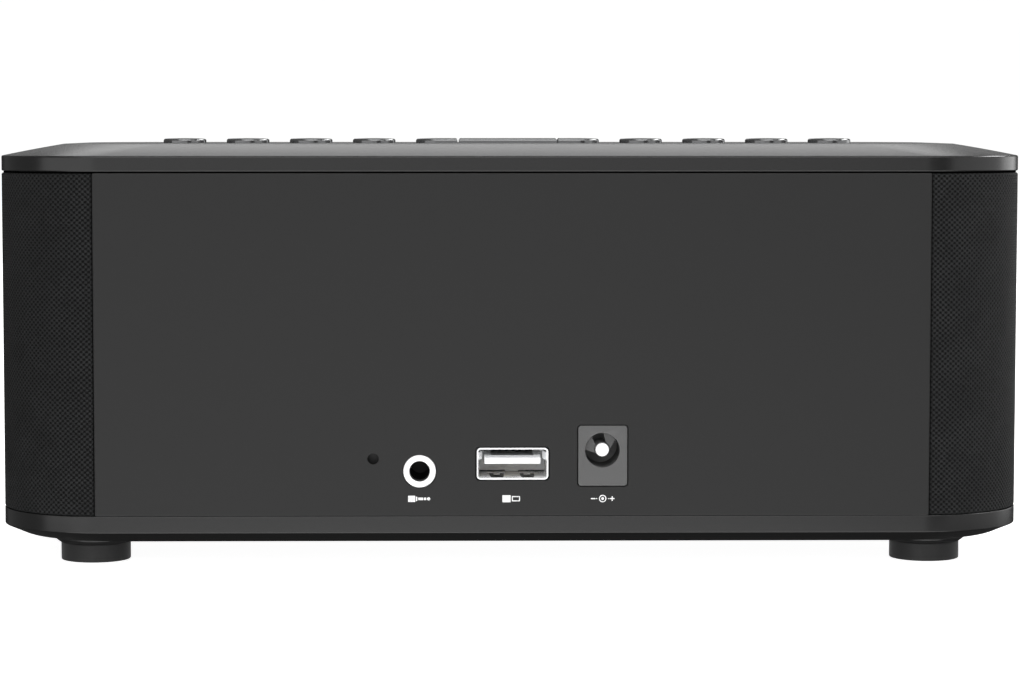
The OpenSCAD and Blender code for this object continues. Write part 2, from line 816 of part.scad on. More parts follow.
module antenna_wire() color("#7a7a80") {
    shield_y = rear_y - 30;
    wire([[40.2, shield_y, board_top + 1.8], [60, shield_y, board_top + 1.8],
        [60, shield_y, deck_z - 3], [-60, shield_y, deck_z - 3], [-60, -10, deck_z - 3]], 0.6);
}

top_cover();
cabinet();
grille_cloth();
rear_panel();
base_plate();
foot(-1, -1);  // foot_front_left
foot(1, -1);  // foot_front_right
foot(-1, 1);  // foot_rear_left
foot(1, 1);  // foot_rear_right
round_key(1);  // key_1
round_key(2);  // key_2
round_key(3);  // key_3
round_key(4);  // key_4
round_key(5);  // key_5
round_key(6);  // key_6
round_key(7);  // key_7
round_key(8);  // key_8
bar_key(-bar_l, -bar_split_x - bar_gap / 2);  // bar_key_left
bar_key(-bar_split_x + bar_gap / 2, bar_split_x - bar_gap / 2);  // bar_key_centre
bar_key(bar_split_x + bar_gap / 2, bar_l);  // bar_key_right
key_mat();
key_board();
main_board();
board_parts();
tuner_shield();
display_window();
display_bezel();
display_board();
display_digits();
driver_frame(-1);  // left_frame
driver_magnet(-1);  // left_magnet
driver_surround(-1);  // left_surround
driver_spider(-1);  // left_spider
driver_cone(-1);  // left_cone
driver_coil(-1);  // left_coil
driver_frame(1);  // right_frame
driver_magnet(1);  // right_magnet
driver_surround(1);  // right_surround
driver_spider(1);  // right_spider
driver_cone(1);  // right_cone
driver_coil(1);  // right_coil
driver_gaskets();
aux_jack_body();
aux_jack_ring();
usb_shell();
usb_insulator();
usb_contacts();
dc_jack_body();
dc_pin();
reset_switch();
reset_button();
base_screws();
panel_screws();
cover_screws();
driver_screws();
board_screws();
ribbon_cable();
driver_leads();
antenna_wire();
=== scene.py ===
"""Tabletop radio: the visual model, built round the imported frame.

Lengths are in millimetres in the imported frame, and new_piece() scales them to metres.
The front faces -Y and the sockets are at the rear, on +Y.
"""
import json
import math

import bpy
import bmesh
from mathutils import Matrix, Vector


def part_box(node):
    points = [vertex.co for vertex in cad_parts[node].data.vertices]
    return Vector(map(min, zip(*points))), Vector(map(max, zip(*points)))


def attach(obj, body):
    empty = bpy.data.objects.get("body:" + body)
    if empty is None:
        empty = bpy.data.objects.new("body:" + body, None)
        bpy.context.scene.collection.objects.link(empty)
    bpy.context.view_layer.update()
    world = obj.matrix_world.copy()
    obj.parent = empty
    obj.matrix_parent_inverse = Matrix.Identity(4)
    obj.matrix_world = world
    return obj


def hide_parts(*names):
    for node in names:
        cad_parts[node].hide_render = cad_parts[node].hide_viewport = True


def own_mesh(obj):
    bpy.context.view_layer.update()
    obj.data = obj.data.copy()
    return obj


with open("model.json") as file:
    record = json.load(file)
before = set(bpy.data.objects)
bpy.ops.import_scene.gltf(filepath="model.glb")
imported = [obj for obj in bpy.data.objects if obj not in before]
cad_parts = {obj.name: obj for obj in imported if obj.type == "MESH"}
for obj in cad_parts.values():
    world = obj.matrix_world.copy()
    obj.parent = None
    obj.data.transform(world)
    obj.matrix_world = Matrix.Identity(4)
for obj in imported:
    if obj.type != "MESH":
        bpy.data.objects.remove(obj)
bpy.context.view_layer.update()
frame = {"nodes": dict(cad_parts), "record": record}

MM = 0.001
TAU = 2 * math.pi


def box_mm(node):
    """Lowest and highest corner of a CAD node, in millimetres."""
    lo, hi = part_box(node)
    return lo / MM, hi / MM


def plan_middle(lo, hi):
    """Middle of a box, seen from above."""
    return (lo.x + hi.x) / 2, (lo.y + hi.y) / 2


def upright_middle(lo, hi):
    """Middle of a box, seen from the front or rear."""
    return (lo.x + hi.x) / 2, (lo.z + hi.z) / 2


def upright_size(lo, hi):
    return hi.x - lo.x, hi.z - lo.z


# ---- Sizes of the body, from the frame ----

cloth_lo, cloth_hi = box_mm("grille_cloth")
panel_lo, panel_hi = box_mm("rear_panel")
HALF_W = cloth_hi.x
HALF_D = -cloth_lo.y
REAR_Y = panel_hi.y
CORNER_R = 20
BAND_TOP = cloth_lo.z - 0.1
WALL_TOP = cloth_hi.z + 0.1
TOP_Z = box_mm("top_cover")[1].z
RIM_Z = WALL_TOP + 0.25
TOP_BEVEL = (10.6, 2.1)
RIM_TOP = TOP_Z - TOP_BEVEL[1]
COVER_T = 2.5
BASE_BEVEL = (3.1, 1.9)
BAND_Z = BAND_TOP - 3.1
BASE_Z = BAND_Z - BASE_BEVEL[1]
FOOT_H = box_mm("base_plate")[0].z
ROUND_KEYS = [f"key_{n}" for n in range(1, 9)]
BAR_KEYS = ["bar_key_left", "bar_key_centre", "bar_key_right"]
KEY_FLANGE = 0.95
KEY_FLANGE_T = 1.0


# ---- Materials ----

class Finish:
    """A procedural material on one Principled shader, with its helper nodes laid by name."""

    def __init__(self, name, roughness=0.5, **settings):
        self.material = bpy.data.materials.new(name)
        self.material.use_nodes = True
        self.tree = self.material.node_tree
        self.shader = self.tree.nodes["Principled BSDF"]
        self.shader.inputs["Roughness"].default_value = roughness
        for key, value in settings.items():
            self.shader.inputs[key.replace("_", " ")].default_value = value
        self.place = self.node("ShaderNodeTexCoord").outputs["Object"]

    def node(self, kind, attributes=(), **inputs):
        """Adds a node. An input is given by its name, or as i and its number, with a value or a socket."""
        made = self.tree.nodes.new(kind)
        for key, value in dict(attributes).items():
            setattr(made, key, value)
        for key, value in inputs.items():
            numbered = key[0] == "i" and key[1:].isdigit()
            socket = made.inputs[int(key[1:]) if numbered else key]
            if isinstance(value, bpy.types.NodeSocket):
                self.tree.links.new(value, socket)
            else:
                socket.default_value = value
        return made

    def math(self, operation, a, b=0.0):
        return self.node("ShaderNodeMath", {"operation": operation}, i0=a, i1=b).outputs[0]

    def noise(self, size_mm, detail=2.0, rough=0.5, place=None, stretch=None):
        """Noise whose blobs are about size_mm across. stretch scales the three axes."""
        place = place or self.place
        if stretch:
            place = self.node("ShaderNodeMapping", i0=place, i3=stretch).outputs[0]
        return self.node("ShaderNodeTexNoise", Vector=place, Scale=1 / (size_mm * MM),
                         Detail=detail, Roughness=rough).outputs[0]

    def ramp(self, value, low, high, start=0.3, end=0.7):
        """value from start to end mapped on low to high, smoothly."""
        return self.node("ShaderNodeMapRange", {"interpolation_type": "SMOOTHSTEP"}, i0=value,
                         i1=start, i2=end, i3=low, i4=high).outputs[0]

    def mix(self, factor, a, b):
        """Colour a where factor is 0, and b where it is 1."""
        return self.node("ShaderNodeMix", {"data_type": "RGBA"}, i0=factor, i6=a, i7=b).outputs[2]

    def colour(self, value):
        self.tree.links.new(value, self.shader.inputs["Base Color"])

    def roughness(self, value):
        self.tree.links.new(value, self.shader.inputs["Roughness"])

    def bump(self, height, distance_mm):
        made = self.node("ShaderNodeBump", Height=height, Distance=distance_mm * MM)
        self.tree.links.new(made.outputs[0], self.shader.inputs["Normal"])


def grey(value, warm=0.0):
    """Opaque grey, turned a little warm or, below 0, cool."""
    return (value * (1 + warm), value, value * (1 - warm), 1)


def shade(colour, factor):
    return tuple(c * factor for c in colour[:3]) + (1,)


def moulded(name, colour, rough=0.42, grain_mm=0.22, grain_depth=0.002, spread=0.06, patchy=0.012,
            grain_gloss=0.03, **settings):
    """Moulded plastic: spark-eroded grain, with slow changes of gloss and colour."""
    f = Finish(name, **settings)
    cloud = f.noise(9, 4, 0.6)
    grain = f.noise(grain_mm, 3, 0.6)
    f.colour(f.mix(cloud, shade(colour, 1 - spread), shade(colour, 1 + spread)))
    slow, fine = f.ramp(cloud, rough - patchy, rough + patchy), f.ramp(grain, -grain_gloss, grain_gloss)
    f.roughness(f.math("ADD", slow, fine))
    f.bump(grain, grain_depth)
    return f.material


def metal(name, colour, rough=0.25, brush=(1, 1, 1), metallic=1.0, brush_mm=0.12, depth=0.0015, **settings):
    """Metal with fine marks, drawn out along an axis by brush, and dull patches."""
    f = Finish(name, Metallic=metallic, **settings)
    marks = f.noise(brush_mm, 4, 0.6, stretch=brush)
    dull = f.noise(9, 3)
    f.colour(f.mix(f.ramp(dull, 0, 1), shade(colour, 0.9), colour))
    f.roughness(f.math("ADD", f.ramp(dull, rough - 0.05, rough + 0.07), f.ramp(marks, -0.04, 0.04)))
    f.bump(marks, depth)
    return f.material


def rubber(name, colour, rough=0.7):
    """Moulded rubber: dull, with fine pits and a dusty bloom."""
    f = Finish(name, Sheen_Weight=0.15, Sheen_Roughness=0.5)
    pits = f.noise(0.3, 4, 0.7)
    bloom = f.noise(6, 4, 0.6)
    f.colour(f.mix(f.ramp(bloom, 0, 1), colour, shade(colour, 1.35)))
    f.roughness(f.ramp(bloom, rough - 0.06, rough + 0.08))
    f.bump(pits, 0.012)
    return f.material


# One repeat of the weave, along the cloth and up it
WEAVE = (1.05, 0.94)


def grille_weave():
    """Plain weave in the cloth's own UVs, which are in millimetres: a hole at every other step, painted
    near-black as the shade seen through it.
    """
    f = Finish("grille_weave", Sheen_Weight=0.02, Sheen_Roughness=0.45)
    f.shader.inputs["Specular IOR Level"].default_value = 0.2
    uv = f.node("ShaderNodeUVMap", {"uv_map": "weave"}).outputs[0]
    split = f.node("ShaderNodeSeparateXYZ", i0=uv)
    across = f.math("COSINE", f.math("MULTIPLY", split.outputs[0], TAU / WEAVE[0]))
    along = f.math("COSINE", f.math("MULTIPLY", split.outputs[1], TAU / WEAVE[1]))
    lattice = f.math("MULTIPLY", across, along)
    fuzz = f.noise(0.16, 3, 0.7)
    slub = f.noise(5, 3, 0.6)
    raised = f.ramp(f.math("ADD", lattice, f.ramp(fuzz, -0.3, 0.3)), 1.0, 0.0, -0.55, 0.75)
    yarn = f.mix(f.ramp(slub, 0, 1), grey(0.0125, -0.03), grey(0.0185, -0.03))
    # The holes get a near-black colour: painted shade, since the mesh only dips there and has no openings.
    f.colour(f.mix(raised, grey(0.0015), yarn))
    f.roughness(f.ramp(raised, 0.95, 0.72, 0, 1))
    f.bump(f.math("ADD", raised, f.math("MULTIPLY", fuzz, 0.25)), 0.16)
    return f.material


def key_metal():
    """Dark anodised key with a satin shine."""
    f = Finish("key_metal", Metallic=0.8, Specular_IOR_Level=0.9)
    dull = f.noise(3, 3)
    pits = f.noise(0.1, 3, 0.6)
    f.colour(f.mix(dull, grey(0.2, -0.01), grey(0.22, -0.01)))
    f.roughness(f.math("ADD", f.ramp(dull, 0.15, 0.18), f.ramp(pits, -0.02, 0.02)))
    f.bump(pits, 0.001)
    return f.material


def circuit_board():
    """Green solder mask over copper tracks that run at right angles."""
    f = Finish("circuit_board", Coat_Weight=0.4, Coat_Roughness=0.2)
    tracks = f.node("ShaderNodeTexBrick", {"offset": 0.37, "squash": 0.6}, Vector=f.place,
                    Scale=260.0, i5=0.06, Bias=-0.4).outputs[1]
    patch = f.noise(7, 2)
    copper = f.mix(f.ramp(patch, 0, 1), (0.012, 0.085, 0.028, 1), (0.02, 0.13, 0.04, 1))
    f.colour(f.mix(tracks, copper, (0.008, 0.05, 0.018, 1)))
    f.roughness(f.ramp(f.noise(0.5, 3), 0.35, 0.5))
    f.bump(tracks, 0.03)
    return f.material


def paper_cone():
    """Pressed paper: felted fibres on a dark ground."""
    f = Finish("paper_cone")
    fibres = f.noise(0.5, 6, 0.75)
    f.colour(f.mix(f.ramp(fibres, 0, 1, 0.4, 0.65), grey(0.012), grey(0.05, 0.06)))
    f.roughness(f.ramp(fibres, 0.75, 0.95))
    f.bump(fibres, 0.06)
    return f.material


def banded(name, colours, pitch_mm, axis, rough, metallic=0.0, depth=0.05):
    """Turns of wire, or the wires of a ribbon: bands across one axis of the frame, with the first colour as
    painted shade in the grooves between them.
    """
    f = Finish(name, Metallic=metallic)
    split = f.node("ShaderNodeSeparateXYZ", i0=f.place)
    wave = f.math("COSINE", f.math("MULTIPLY", split.outputs[axis], TAU / (pitch_mm * MM)))
    wear = f.noise(2, 4)
    # The first colour fills each trough of the wave, the groove between wires: painted shade.
    f.colour(f.mix(f.ramp(wave, 0, 1, -0.9, 0.4), colours[0], colours[1]))
    f.roughness(f.ramp(wear, rough - 0.06, rough + 0.1))
    f.bump(wave, depth)
    return f.material


def glossy(name, colour, rough=0.08, **settings):
    """Polished plastic with faint handling marks."""
    f = Finish(name, **settings)
    smears = f.noise(4, 5, 0.65)
    f.colour(f.mix(smears, shade(colour, 0.92), shade(colour, 1.08)))
    f.roughness(f.ramp(smears, rough, rough + 0.07, 0.35, 0.75))
    f.bump(f.noise(1.2, 2), 0.0012)
    return f.material


def lit(name, colour, strength):
    """Glowing segment behind a diffuser, brighter in patches."""
    f = Finish(name, 0.4, Emission_Strength=strength)
    patch = f.noise(2.5, 2)
    f.colour(f.mix(patch, shade(colour, 0.7), colour))
    f.tree.links.new(f.mix(patch, shade(colour, 0.85), colour), f.shader.inputs["Emission Color"])
    f.bump(f.noise(0.4, 2), 0.01)
    return f.material


SATIN = {"rough": 0.25, "grain_mm": 0.3, "grain_depth": 0.0001, "spread": 0.015, "patchy": 0.003,
         "grain_gloss": 0.004}
MATERIALS = {
    "cover_shell": moulded("cover_plastic", grey(0.01), **SATIN),
    "base_shell": moulded("base_plastic", grey(0.01), **SATIN),
    "rear_shell": moulded("rear_plastic", grey(0.011), 0.5, spread=0.03, Specular_IOR_Level=0.3),
    "cabinet_shell": moulded("inner_plastic", grey(0.012), 0.55),
    "grille_cloth": grille_weave(),
    "foot_rubber": rubber("foot_rubber", grey(0.0055)),
    "key_cap": key_metal(),
    "key_rubber": rubber("key_rubber", grey(0.08, -0.03), 0.6),
    "circuit_board": circuit_board(),
    "components": moulded("component_black", grey(0.02), 0.4, 0.1),
    "tin_can": metal("tin_can", grey(0.6), 0.3, (1, 0.05, 1)),
    "window": glossy("smoked_window", grey(0.06), 0.03, Transmission_Weight=0.75, IOR=1.49),
    "bezel": glossy("bezel_black", grey(0.008), 0.16),
    "digits": lit("digit_glow", (0.75, 0.88, 1.0, 1), 6.0),
    "driver_steel": metal("driver_steel", grey(0.05), 0.45, (1, 1, 1), 0.6),
    "magnet": moulded("ferrite", grey(0.04), 0.45, 0.6, 0.03),
    "surround": rubber("surround_rubber", grey(0.012), 0.5),
    "spider": moulded("spider_cloth", (0.4, 0.24, 0.1, 1), 0.85, 0.35, 0.05),
    "cone": paper_cone(),
    "coil": banded("coil_winding", ((0.12, 0.04, 0.012, 1), (0.8, 0.35, 0.12, 1)), 0.2, 1, 0.3, 1.0, 0.03),
    "gasket": rubber("gasket_foam", grey(0.03), 0.9),
    "jack_plastic": moulded("jack_plastic", grey(0.008), 0.4, 0.1, 0.003),
    "jack_ring": glossy("jack_ring_white", grey(0.93), 0.12),
    "usb_steel": metal("usb_plating", grey(0.97, -0.008), 0.3, (1, 0.05, 1), 0.2),
    "usb_white": glossy("usb_insulator_white", grey(0.92, -0.008), 0.25),
    "gold_contacts": metal("gold_plating", (0.8, 0.64, 0.36, 1), 0.2, (1, 0.05, 1)),
    "dc_plastic": moulded("dc_plastic", grey(0.085), 0.4, 0.12, 0.003, Specular_IOR_Level=0.4),
    "dc_metal": glossy("dc_pin_bright", grey(0.93), 0.15),
    "fasteners": metal("screw_steel", grey(0.5, -0.02), 0.28, (1, 1, 1)),
    "ribbon": banded("ribbon_wires", (grey(0.12), grey(0.5)), 1.27, 0, 0.4, 0.0, 0.15),
    "lead_jacket": glossy("lead_jacket", (0.4, 0.02, 0.015, 1), 0.3),
    "wire_jacket": glossy("wire_jacket", grey(0.12), 0.3),
}
slot_of = {part["node"]: part["material_slot"] for part in frame["record"]["subparts"]}
for node, obj in frame["nodes"].items():
    obj.data.materials.clear()
    obj.data.materials.append(MATERIALS[slot_of[node]])


# ---- Mesh helpers ----

def new_piece(name, bm, replaces=(), body="case", slot=None, material=None, sharp=48):
    """Turns a bmesh in millimetres into a smooth-shaded piece that rides on a body."""
    bmesh.ops.remove_doubles(bm, verts=bm.verts, dist=1e-5)
    bmesh.ops.recalc_face_normals(bm, faces=bm.faces)
    for face in bm.faces:
        face.smooth = True
    for edge in bm.edges:
        edge.smooth = len(edge.link_faces) == 2 and edge.calc_face_angle() < math.radians(sharp)
    bmesh.ops.scale(bm, vec=(MM, MM, MM), verts=bm.verts)
    mesh = bpy.data.meshes.new(name)
    bm.to_mesh(mesh)
    bm.free()
    slot = slot or slot_of[replaces[0]]
    mesh.materials.append(material or MATERIALS[slot])
    piece = bpy.data.objects.new(name, mesh)
    bpy.context.scene.collection.objects.link(piece)
    shading = piece.modifiers.new("shading", "WEIGHTED_NORMAL")
    shading.keep_sharp = True
    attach(piece, body)
    if replaces:
        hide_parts(*replaces)
    return piece


def loft(bm, rings):
    """Joins closed rings of equal point count, and returns the first and last ring's vertices."""
    rows = [[bm.verts.new(point) for point in ring] for ring in rings]
    for near, far in zip(rows, rows[1:]):
        count = len(near)
        for i in range(count):
            j = (i + 1) % count
            bm.faces.new((near[i], near[j], far[j], far[i]))
    return rows[0], rows[-1]


def cap(bm, *loops):
    """Fills the area between closed loops of vertices."""
    edges = []
    for ring in loops:
        for a, b in zip(ring, ring[1:] + ring[:1]):
            edges.append(bm.edges.get((a, b)) or bm.edges.new((a, b)))
    bmesh.ops.triangle_fill(bm, use_beauty=True, edges=edges)


def capped(bm, rings):
    """Closed solid through a row of rings."""
    for ring in loft(bm, rings):
        cap(bm, ring)


def circle(radius, centre=(0, 0), steps=48):
    """Outline of a circle: a function that gives its points, moved out by grow."""
    def outline(grow=0.0):
        turns = [TAU * i / steps for i in range(steps)]
        r = radius + grow
        return [(centre[0] + r * math.cos(a), centre[1] + r * math.sin(a)) for a in turns]
    return outline


def rounded(w, d, r, centre=(0, 0), steps=8, constant_r=False):
    """Outline of a rectangle with round corners, as circle()."""
    def outline(grow=0.0):
        corner = r if constant_r else max(r + grow, 0.02)
        points = []
        for k, (sx, sy) in enumerate(((1, 1), (-1, 1), (-1, -1), (1, -1))):
            for i in range(steps + 1):
                a = TAU / 4 * (k + i / steps)
                x = centre[0] + sx * (w / 2 + grow - corner) + corner * math.cos(a)
                y = centre[1] + sy * (d / 2 + grow - corner) + corner * math.sin(a)
                points.append((x, y))
        return points
    return outline


def polygon(points):
    """Outline of fixed points, which grow doesn't move."""
    return lambda grow=0.0: list(points)


def level(points, z):
    return [(x, y, z) for x, y in points]


def behind(points, y):
    """An X-Z outline stood up at a distance along Y."""
    return [(x, y, z) for x, z in points]


def solid(bm, lay, outer, outer_steps, holes=(), hole_steps=(), margin=0.0):
    """Closed solid from an outline with holes. The steps are (grow, height) from top to bottom, laid by
    lay. hole_steps has one list of steps for each hole. A margin adds a strip level with each cap, so
    that rounded edges don't bend the cap's shading."""
    if margin:
        outer_steps = with_margin(outer_steps, -margin)
        hole_steps = [with_margin(steps, margin) for steps in hole_steps]
    first, last = loft(bm, [lay(outer(grow), height) for grow, height in outer_steps])
    tops, bottoms = [first], [last]
    for hole, steps in zip(holes, hole_steps):
        top, bottom = loft(bm, [lay(hole(grow), height) for grow, height in steps])
        tops.append(top)
        bottoms.append(bottom)
    cap(bm, *tops)
    cap(bm, *bottoms)


def with_margin(steps, grow):
    """The steps with one more at each end, level with it and moved in or out by grow."""
    (first_grow, first_height), (last_grow, last_height) = steps[0], steps[-1]
    return [(first_grow + grow, first_height)] + list(steps) + [(last_grow + grow, last_height)]


def turned(bm, profile, centre, steps=64, upright=True):
    """Closed solid of revolution. The profile is (radius, height), and starts and ends on the axis or
    joins up with itself."""
    def ring(radius, height):
        points = circle(radius, centre, steps)()
        return level(points, height) if upright else behind(points, height)

    on_axis = [p for p in (profile[0], profile[-1]) if p[0] < 1e-6]
    inner = profile[1:-1] if on_axis else profile + profile[:1]
    first, last = loft(bm, [ring(*p) for p in inner])
    if on_axis:
        for row, (_, height) in ((first, profile[0]), (last, profile[-1])):
            tip = (centre[0], centre[1], height) if upright else (centre[0], height, centre[1])
            middle = bm.verts.new(tip)
            for i, vertex in enumerate(row):
                bm.faces.new((vertex, row[(i + 1) % len(row)], middle))


# ---- Top cover ----

def body_ring(inset, z, corner=CORNER_R):
    """The body's plan outline, drawn in by inset."""
    outline = rounded(2 * HALF_W, 2 * HALF_D, corner, steps=28, constant_r=True)
    return level(outline(-inset), z)


def inner_ring(inset, z):
    """The same outline with corners that stay concentric."""
    return body_ring(inset, z, CORNER_R - inset)


def key_outline(node, clearance):
    """Plan outline of the hole round a key."""
    lo, hi = box_mm(node)
    radius = (hi.x - lo.x) / 2 - KEY_FLANGE
    return circle(radius + clearance, plan_middle(lo, hi), 48)


bar_lo = box_mm("bar_key_left")[0]
bar_hi = box_mm("bar_key_right")[1]
BAR_L = bar_hi.x - bar_lo.x - 2 * KEY_FLANGE
BAR_W = bar_hi.y - bar_lo.y - 2 * KEY_FLANGE


def stadium(length, width):
    """Outline of a bar with half-round ends."""
    return rounded(length, width, width / 2, steps=24)


# How far the shadow gap under the rim goes in
GAP_DEPTH = 0.6


def build_gap_shade_strip():
    """Near-black strip at the bottom of the shadow gap under the rim: painted shade, put there to keep the
    gap dark.
    """
    bm = bmesh.new()
    body = rounded(2 * HALF_W, 2 * HALF_D, CORNER_R, steps=28)
    top, bottom = RIM_Z - 0.005, WALL_TOP - 0.07
    outer, inner = 0.36, GAP_DEPTH - 0.01
    # Near-black with no shine, so that it reads as the shade at the back of the gap: painted shade.
    painted_shade_black = moulded("gap_shade_black", grey(0.001), 0.95, Specular_IOR_Level=0.0)
    solid(bm, level, body, [(-outer, top), (-outer, bottom)], [body], [[(-inner, top), (-inner, bottom)]])
    return new_piece("rim_gap_shade", bm, slot="gasket", material=painted_shade_black)


def build_cover():
    """Shell with a bevelled top and holes for the keys. Its underside steps down to the cloth and the
    cabinet's wall, which leaves a narrow shadow gap under the rim."""
    bm = bmesh.new()
    run, rise = TOP_BEVEL
    under_z = TOP_Z - COVER_T
    wall, lip, cloth_t = 2.2, 1.1, 0.9
    over_wall, over_cloth = WALL_TOP + 0.03, WALL_TOP - 0.08
    rings = [inner_ring(wall + 2.5 * lip, under_z), inner_ring(wall + 2.5 * lip, over_wall)]
    rings += [inner_ring(wall + lip, over_wall), inner_ring(wall + lip, under_z), inner_ring(wall, under_z)]
    rings += [inner_ring(wall, over_wall), inner_ring(cloth_t, over_wall), inner_ring(cloth_t, over_cloth)]
    rings += [inner_ring(GAP_DEPTH, over_cloth), inner_ring(GAP_DEPTH, RIM_Z)]
    for inset, up in ((0.16, 0), (0.06, 0.04), (0.015, 0.11), (0, 0.22)):
        rings.append(inner_ring(inset, RIM_Z + up))
    edge = 0.3
    turn = math.pi / 2 - math.atan2(rise, run)
    for i in range(7):
        a = turn * i / 6
        rings.append(body_ring(edge * (1 - math.cos(a)), RIM_TOP - edge + edge * math.sin(a)))
    start_in = edge * (1 - math.cos(turn))
    start_z = RIM_TOP - edge + edge * math.sin(turn)
    kink, kink_drop = 0.4, 0.068
    crown = 0.12
    for t in (0.03, 0.12, 0.25, 0.4, 0.55, 0.7, 0.85):
        along = start_in + t * (run - kink - start_in)
        climb = (t + crown * t * (1 - t)) * (TOP_Z - kink_drop - start_z)
        rings.append(body_ring(along, start_z + climb))
    rings += [body_ring(run - kink, TOP_Z - kink_drop), body_ring(run - kink * 0.3, TOP_Z - 0.015)]
    rings += [body_ring(run + kink, TOP_Z), body_ring(run + 2 * kink, TOP_Z)]
    bottom, top = loft(bm, rings)
    clearance = 0.2
    holes = [key_outline(node, clearance) for node in ROUND_KEYS]
    holes.append(stadium(BAR_L + 2 * clearance, BAR_W + 2 * clearance))
    edge_steps = [(0.35, TOP_Z), (0.2, TOP_Z), (0.1, TOP_Z - 0.03), (0.03, TOP_Z - 0.1), (0, TOP_Z - 0.2)]
    tops, bottoms = [top], [bottom]
    for hole in holes:
        rim, foot = loft(bm, [level(hole(grow), z) for grow, z in edge_steps + [(0, under_z)]])
        tops.append(rim)
        bottoms.append(foot)
    cap(bm, *tops)
    cap(bm, *bottoms)
    return new_piece("cover_moulding", bm, ["top_cover"])


# ---- Base plate and feet ----

FEET = ("foot_front_left", "foot_front_right", "foot_rear_left", "foot_rear_right")
foot_centres = {node: plan_middle(*box_mm(node)) for node in FEET}
foot_lo, foot_hi = box_mm("foot_rear_left")
FOOT_R = (foot_hi.x - foot_lo.x) / 2
BOSS_R = 7.5
BOSS_CONE_H = 0.6
RECESS_R = 5
RECESS_TOP = FOOT_H + 1.2
# The lower bevel's corners are a little rounder than the body's
LOW_CORNER_R = CORNER_R + 0.8


def build_base():
    """Tray with a band, a bevel below it and a round boss over each foot."""
    bm = bmesh.new()
    run, drop = BASE_BEVEL
    floor_top = BASE_Z + 2.2
    wall = 2.4
    rings = [inner_ring(wall + 0.2, floor_top), inner_ring(wall, floor_top), inner_ring(wall, BAND_TOP)]
    rings += [inner_ring(0.26, BAND_TOP), inner_ring(0.12, BAND_TOP), inner_ring(0.04, BAND_TOP - 0.03)]
    rings.append(inner_ring(0, BAND_TOP - 0.12))
    edge = 0.22
    turn = math.pi / 2 - math.atan2(drop, run)
    for i in range(6):
        a = turn * i / 5
        rings.append(body_ring(edge * (1 - math.cos(a)), BAND_Z + edge * 0.6 - edge * math.sin(a)))
    for t in (0.08, 0.5):
        corner = CORNER_R + t * (LOW_CORNER_R - CORNER_R)
        rings.append(body_ring(t * run, BAND_Z - t * drop, corner))
    for inset, up in ((run - 0.3, 0.16), (run, 0.03), (run + 0.3, 0), (run + 0.5, 0)):
        rings.append(body_ring(inset, BASE_Z + up, LOW_CORNER_R))
    inside, underside = loft(bm, rings)
    cap(bm, inside)
    boss_tops = []
    r, cone_z = BOSS_R, FOOT_H + BOSS_CONE_H
    boss = [(r + 0.3, BASE_Z), (r + 0.1, BASE_Z), (r + 0.02, BASE_Z - 0.03), (r, BASE_Z - 0.12)]
    boss += [(r, cone_z + 0.1), (r - 0.03, cone_z + 0.02), (r - 0.1, cone_z - 0.05)]
    boss += [(r - 0.75, FOOT_H + 0.05), (r - 0.85, FOOT_H), (RECESS_R, FOOT_H), (RECESS_R, RECESS_TOP)]
    for centre in foot_centres.values():
        first, last = loft(bm, [level(circle(r, centre, 64)(), z) for r, z in boss])
        boss_tops.append(first)
        cap(bm, last)
    cap(bm, underside, *boss_tops)
    return new_piece("base_moulding", bm, ["base_plate"])


def build_foot(node):
    """Rubber foot with a recess and a ring groove in its tread, and a stub that goes into the boss."""
    bm = bmesh.new()
    r = FOOT_R
    tread = [(0, 0.5), (3.2, 0.5), (3.4, 0.35), (3.6, 0.0), (3.9, 0.0), (4.1, 0.3), (4.6, 0.3), (4.8, 0.0)]
    edge = [(r - 0.32, 0), (r - 0.14, 0.04), (r - 0.04, 0.13), (r, 0.3)]
    top = [(r, FOOT_H - 0.25), (r - 0.08, FOOT_H - 0.08), (r - 0.25, FOOT_H - 0.01)]
    stub = [(RECESS_R - 0.1, FOOT_H - 0.01), (RECESS_R - 0.1, RECESS_TOP - 0.2), (0, RECESS_TOP - 0.2)]
    turned(bm, tread + edge + top + stub, foot_centres[node])
    return new_piece(node + "_turned", bm, [node])


# ---- Keys ----

def key_levels(node):
    """Heights of a key's lower face, the top of its flange and its top."""
    lo, hi = box_mm(node)
    return lo.z, lo.z + KEY_FLANGE_T, hi.z


def key_edge(key_top):
    """The rounded top edge of a key, as points (how far in, height)."""
    edge, steps, crown = 0.42, 6, 0.1
    turns = [TAU / 4 * i / steps for i in range(steps + 1)]
    return [(edge * (1 - math.cos(a)), key_top - crown - edge * (1 - math.sin(a))) for a in turns]


def build_round_key(node):
    """Turned key with a flange that stays under the cover."""
    bm = bmesh.new()
    flange_z, flange_top, key_top = key_levels(node)
    lo, hi = box_mm(node)
    flange_r = (hi.x - lo.x) / 2
    r = flange_r - KEY_FLANGE
    profile = [(0, flange_z), (flange_r - 0.1, flange_z), (flange_r, flange_z + 0.1)]
    profile += [(flange_r, flange_top - 0.1), (flange_r - 0.1, flange_top), (r, flange_top)]
    profile += [(r - inset, z) for inset, z in key_edge(key_top)]
    profile += [(r * 0.7, key_top - 0.055), (r * 0.4, key_top - 0.02), (0, key_top)]
    turned(bm, profile, plan_middle(lo, hi), 72)
    return new_piece(node + "_cap", bm, [node], node)


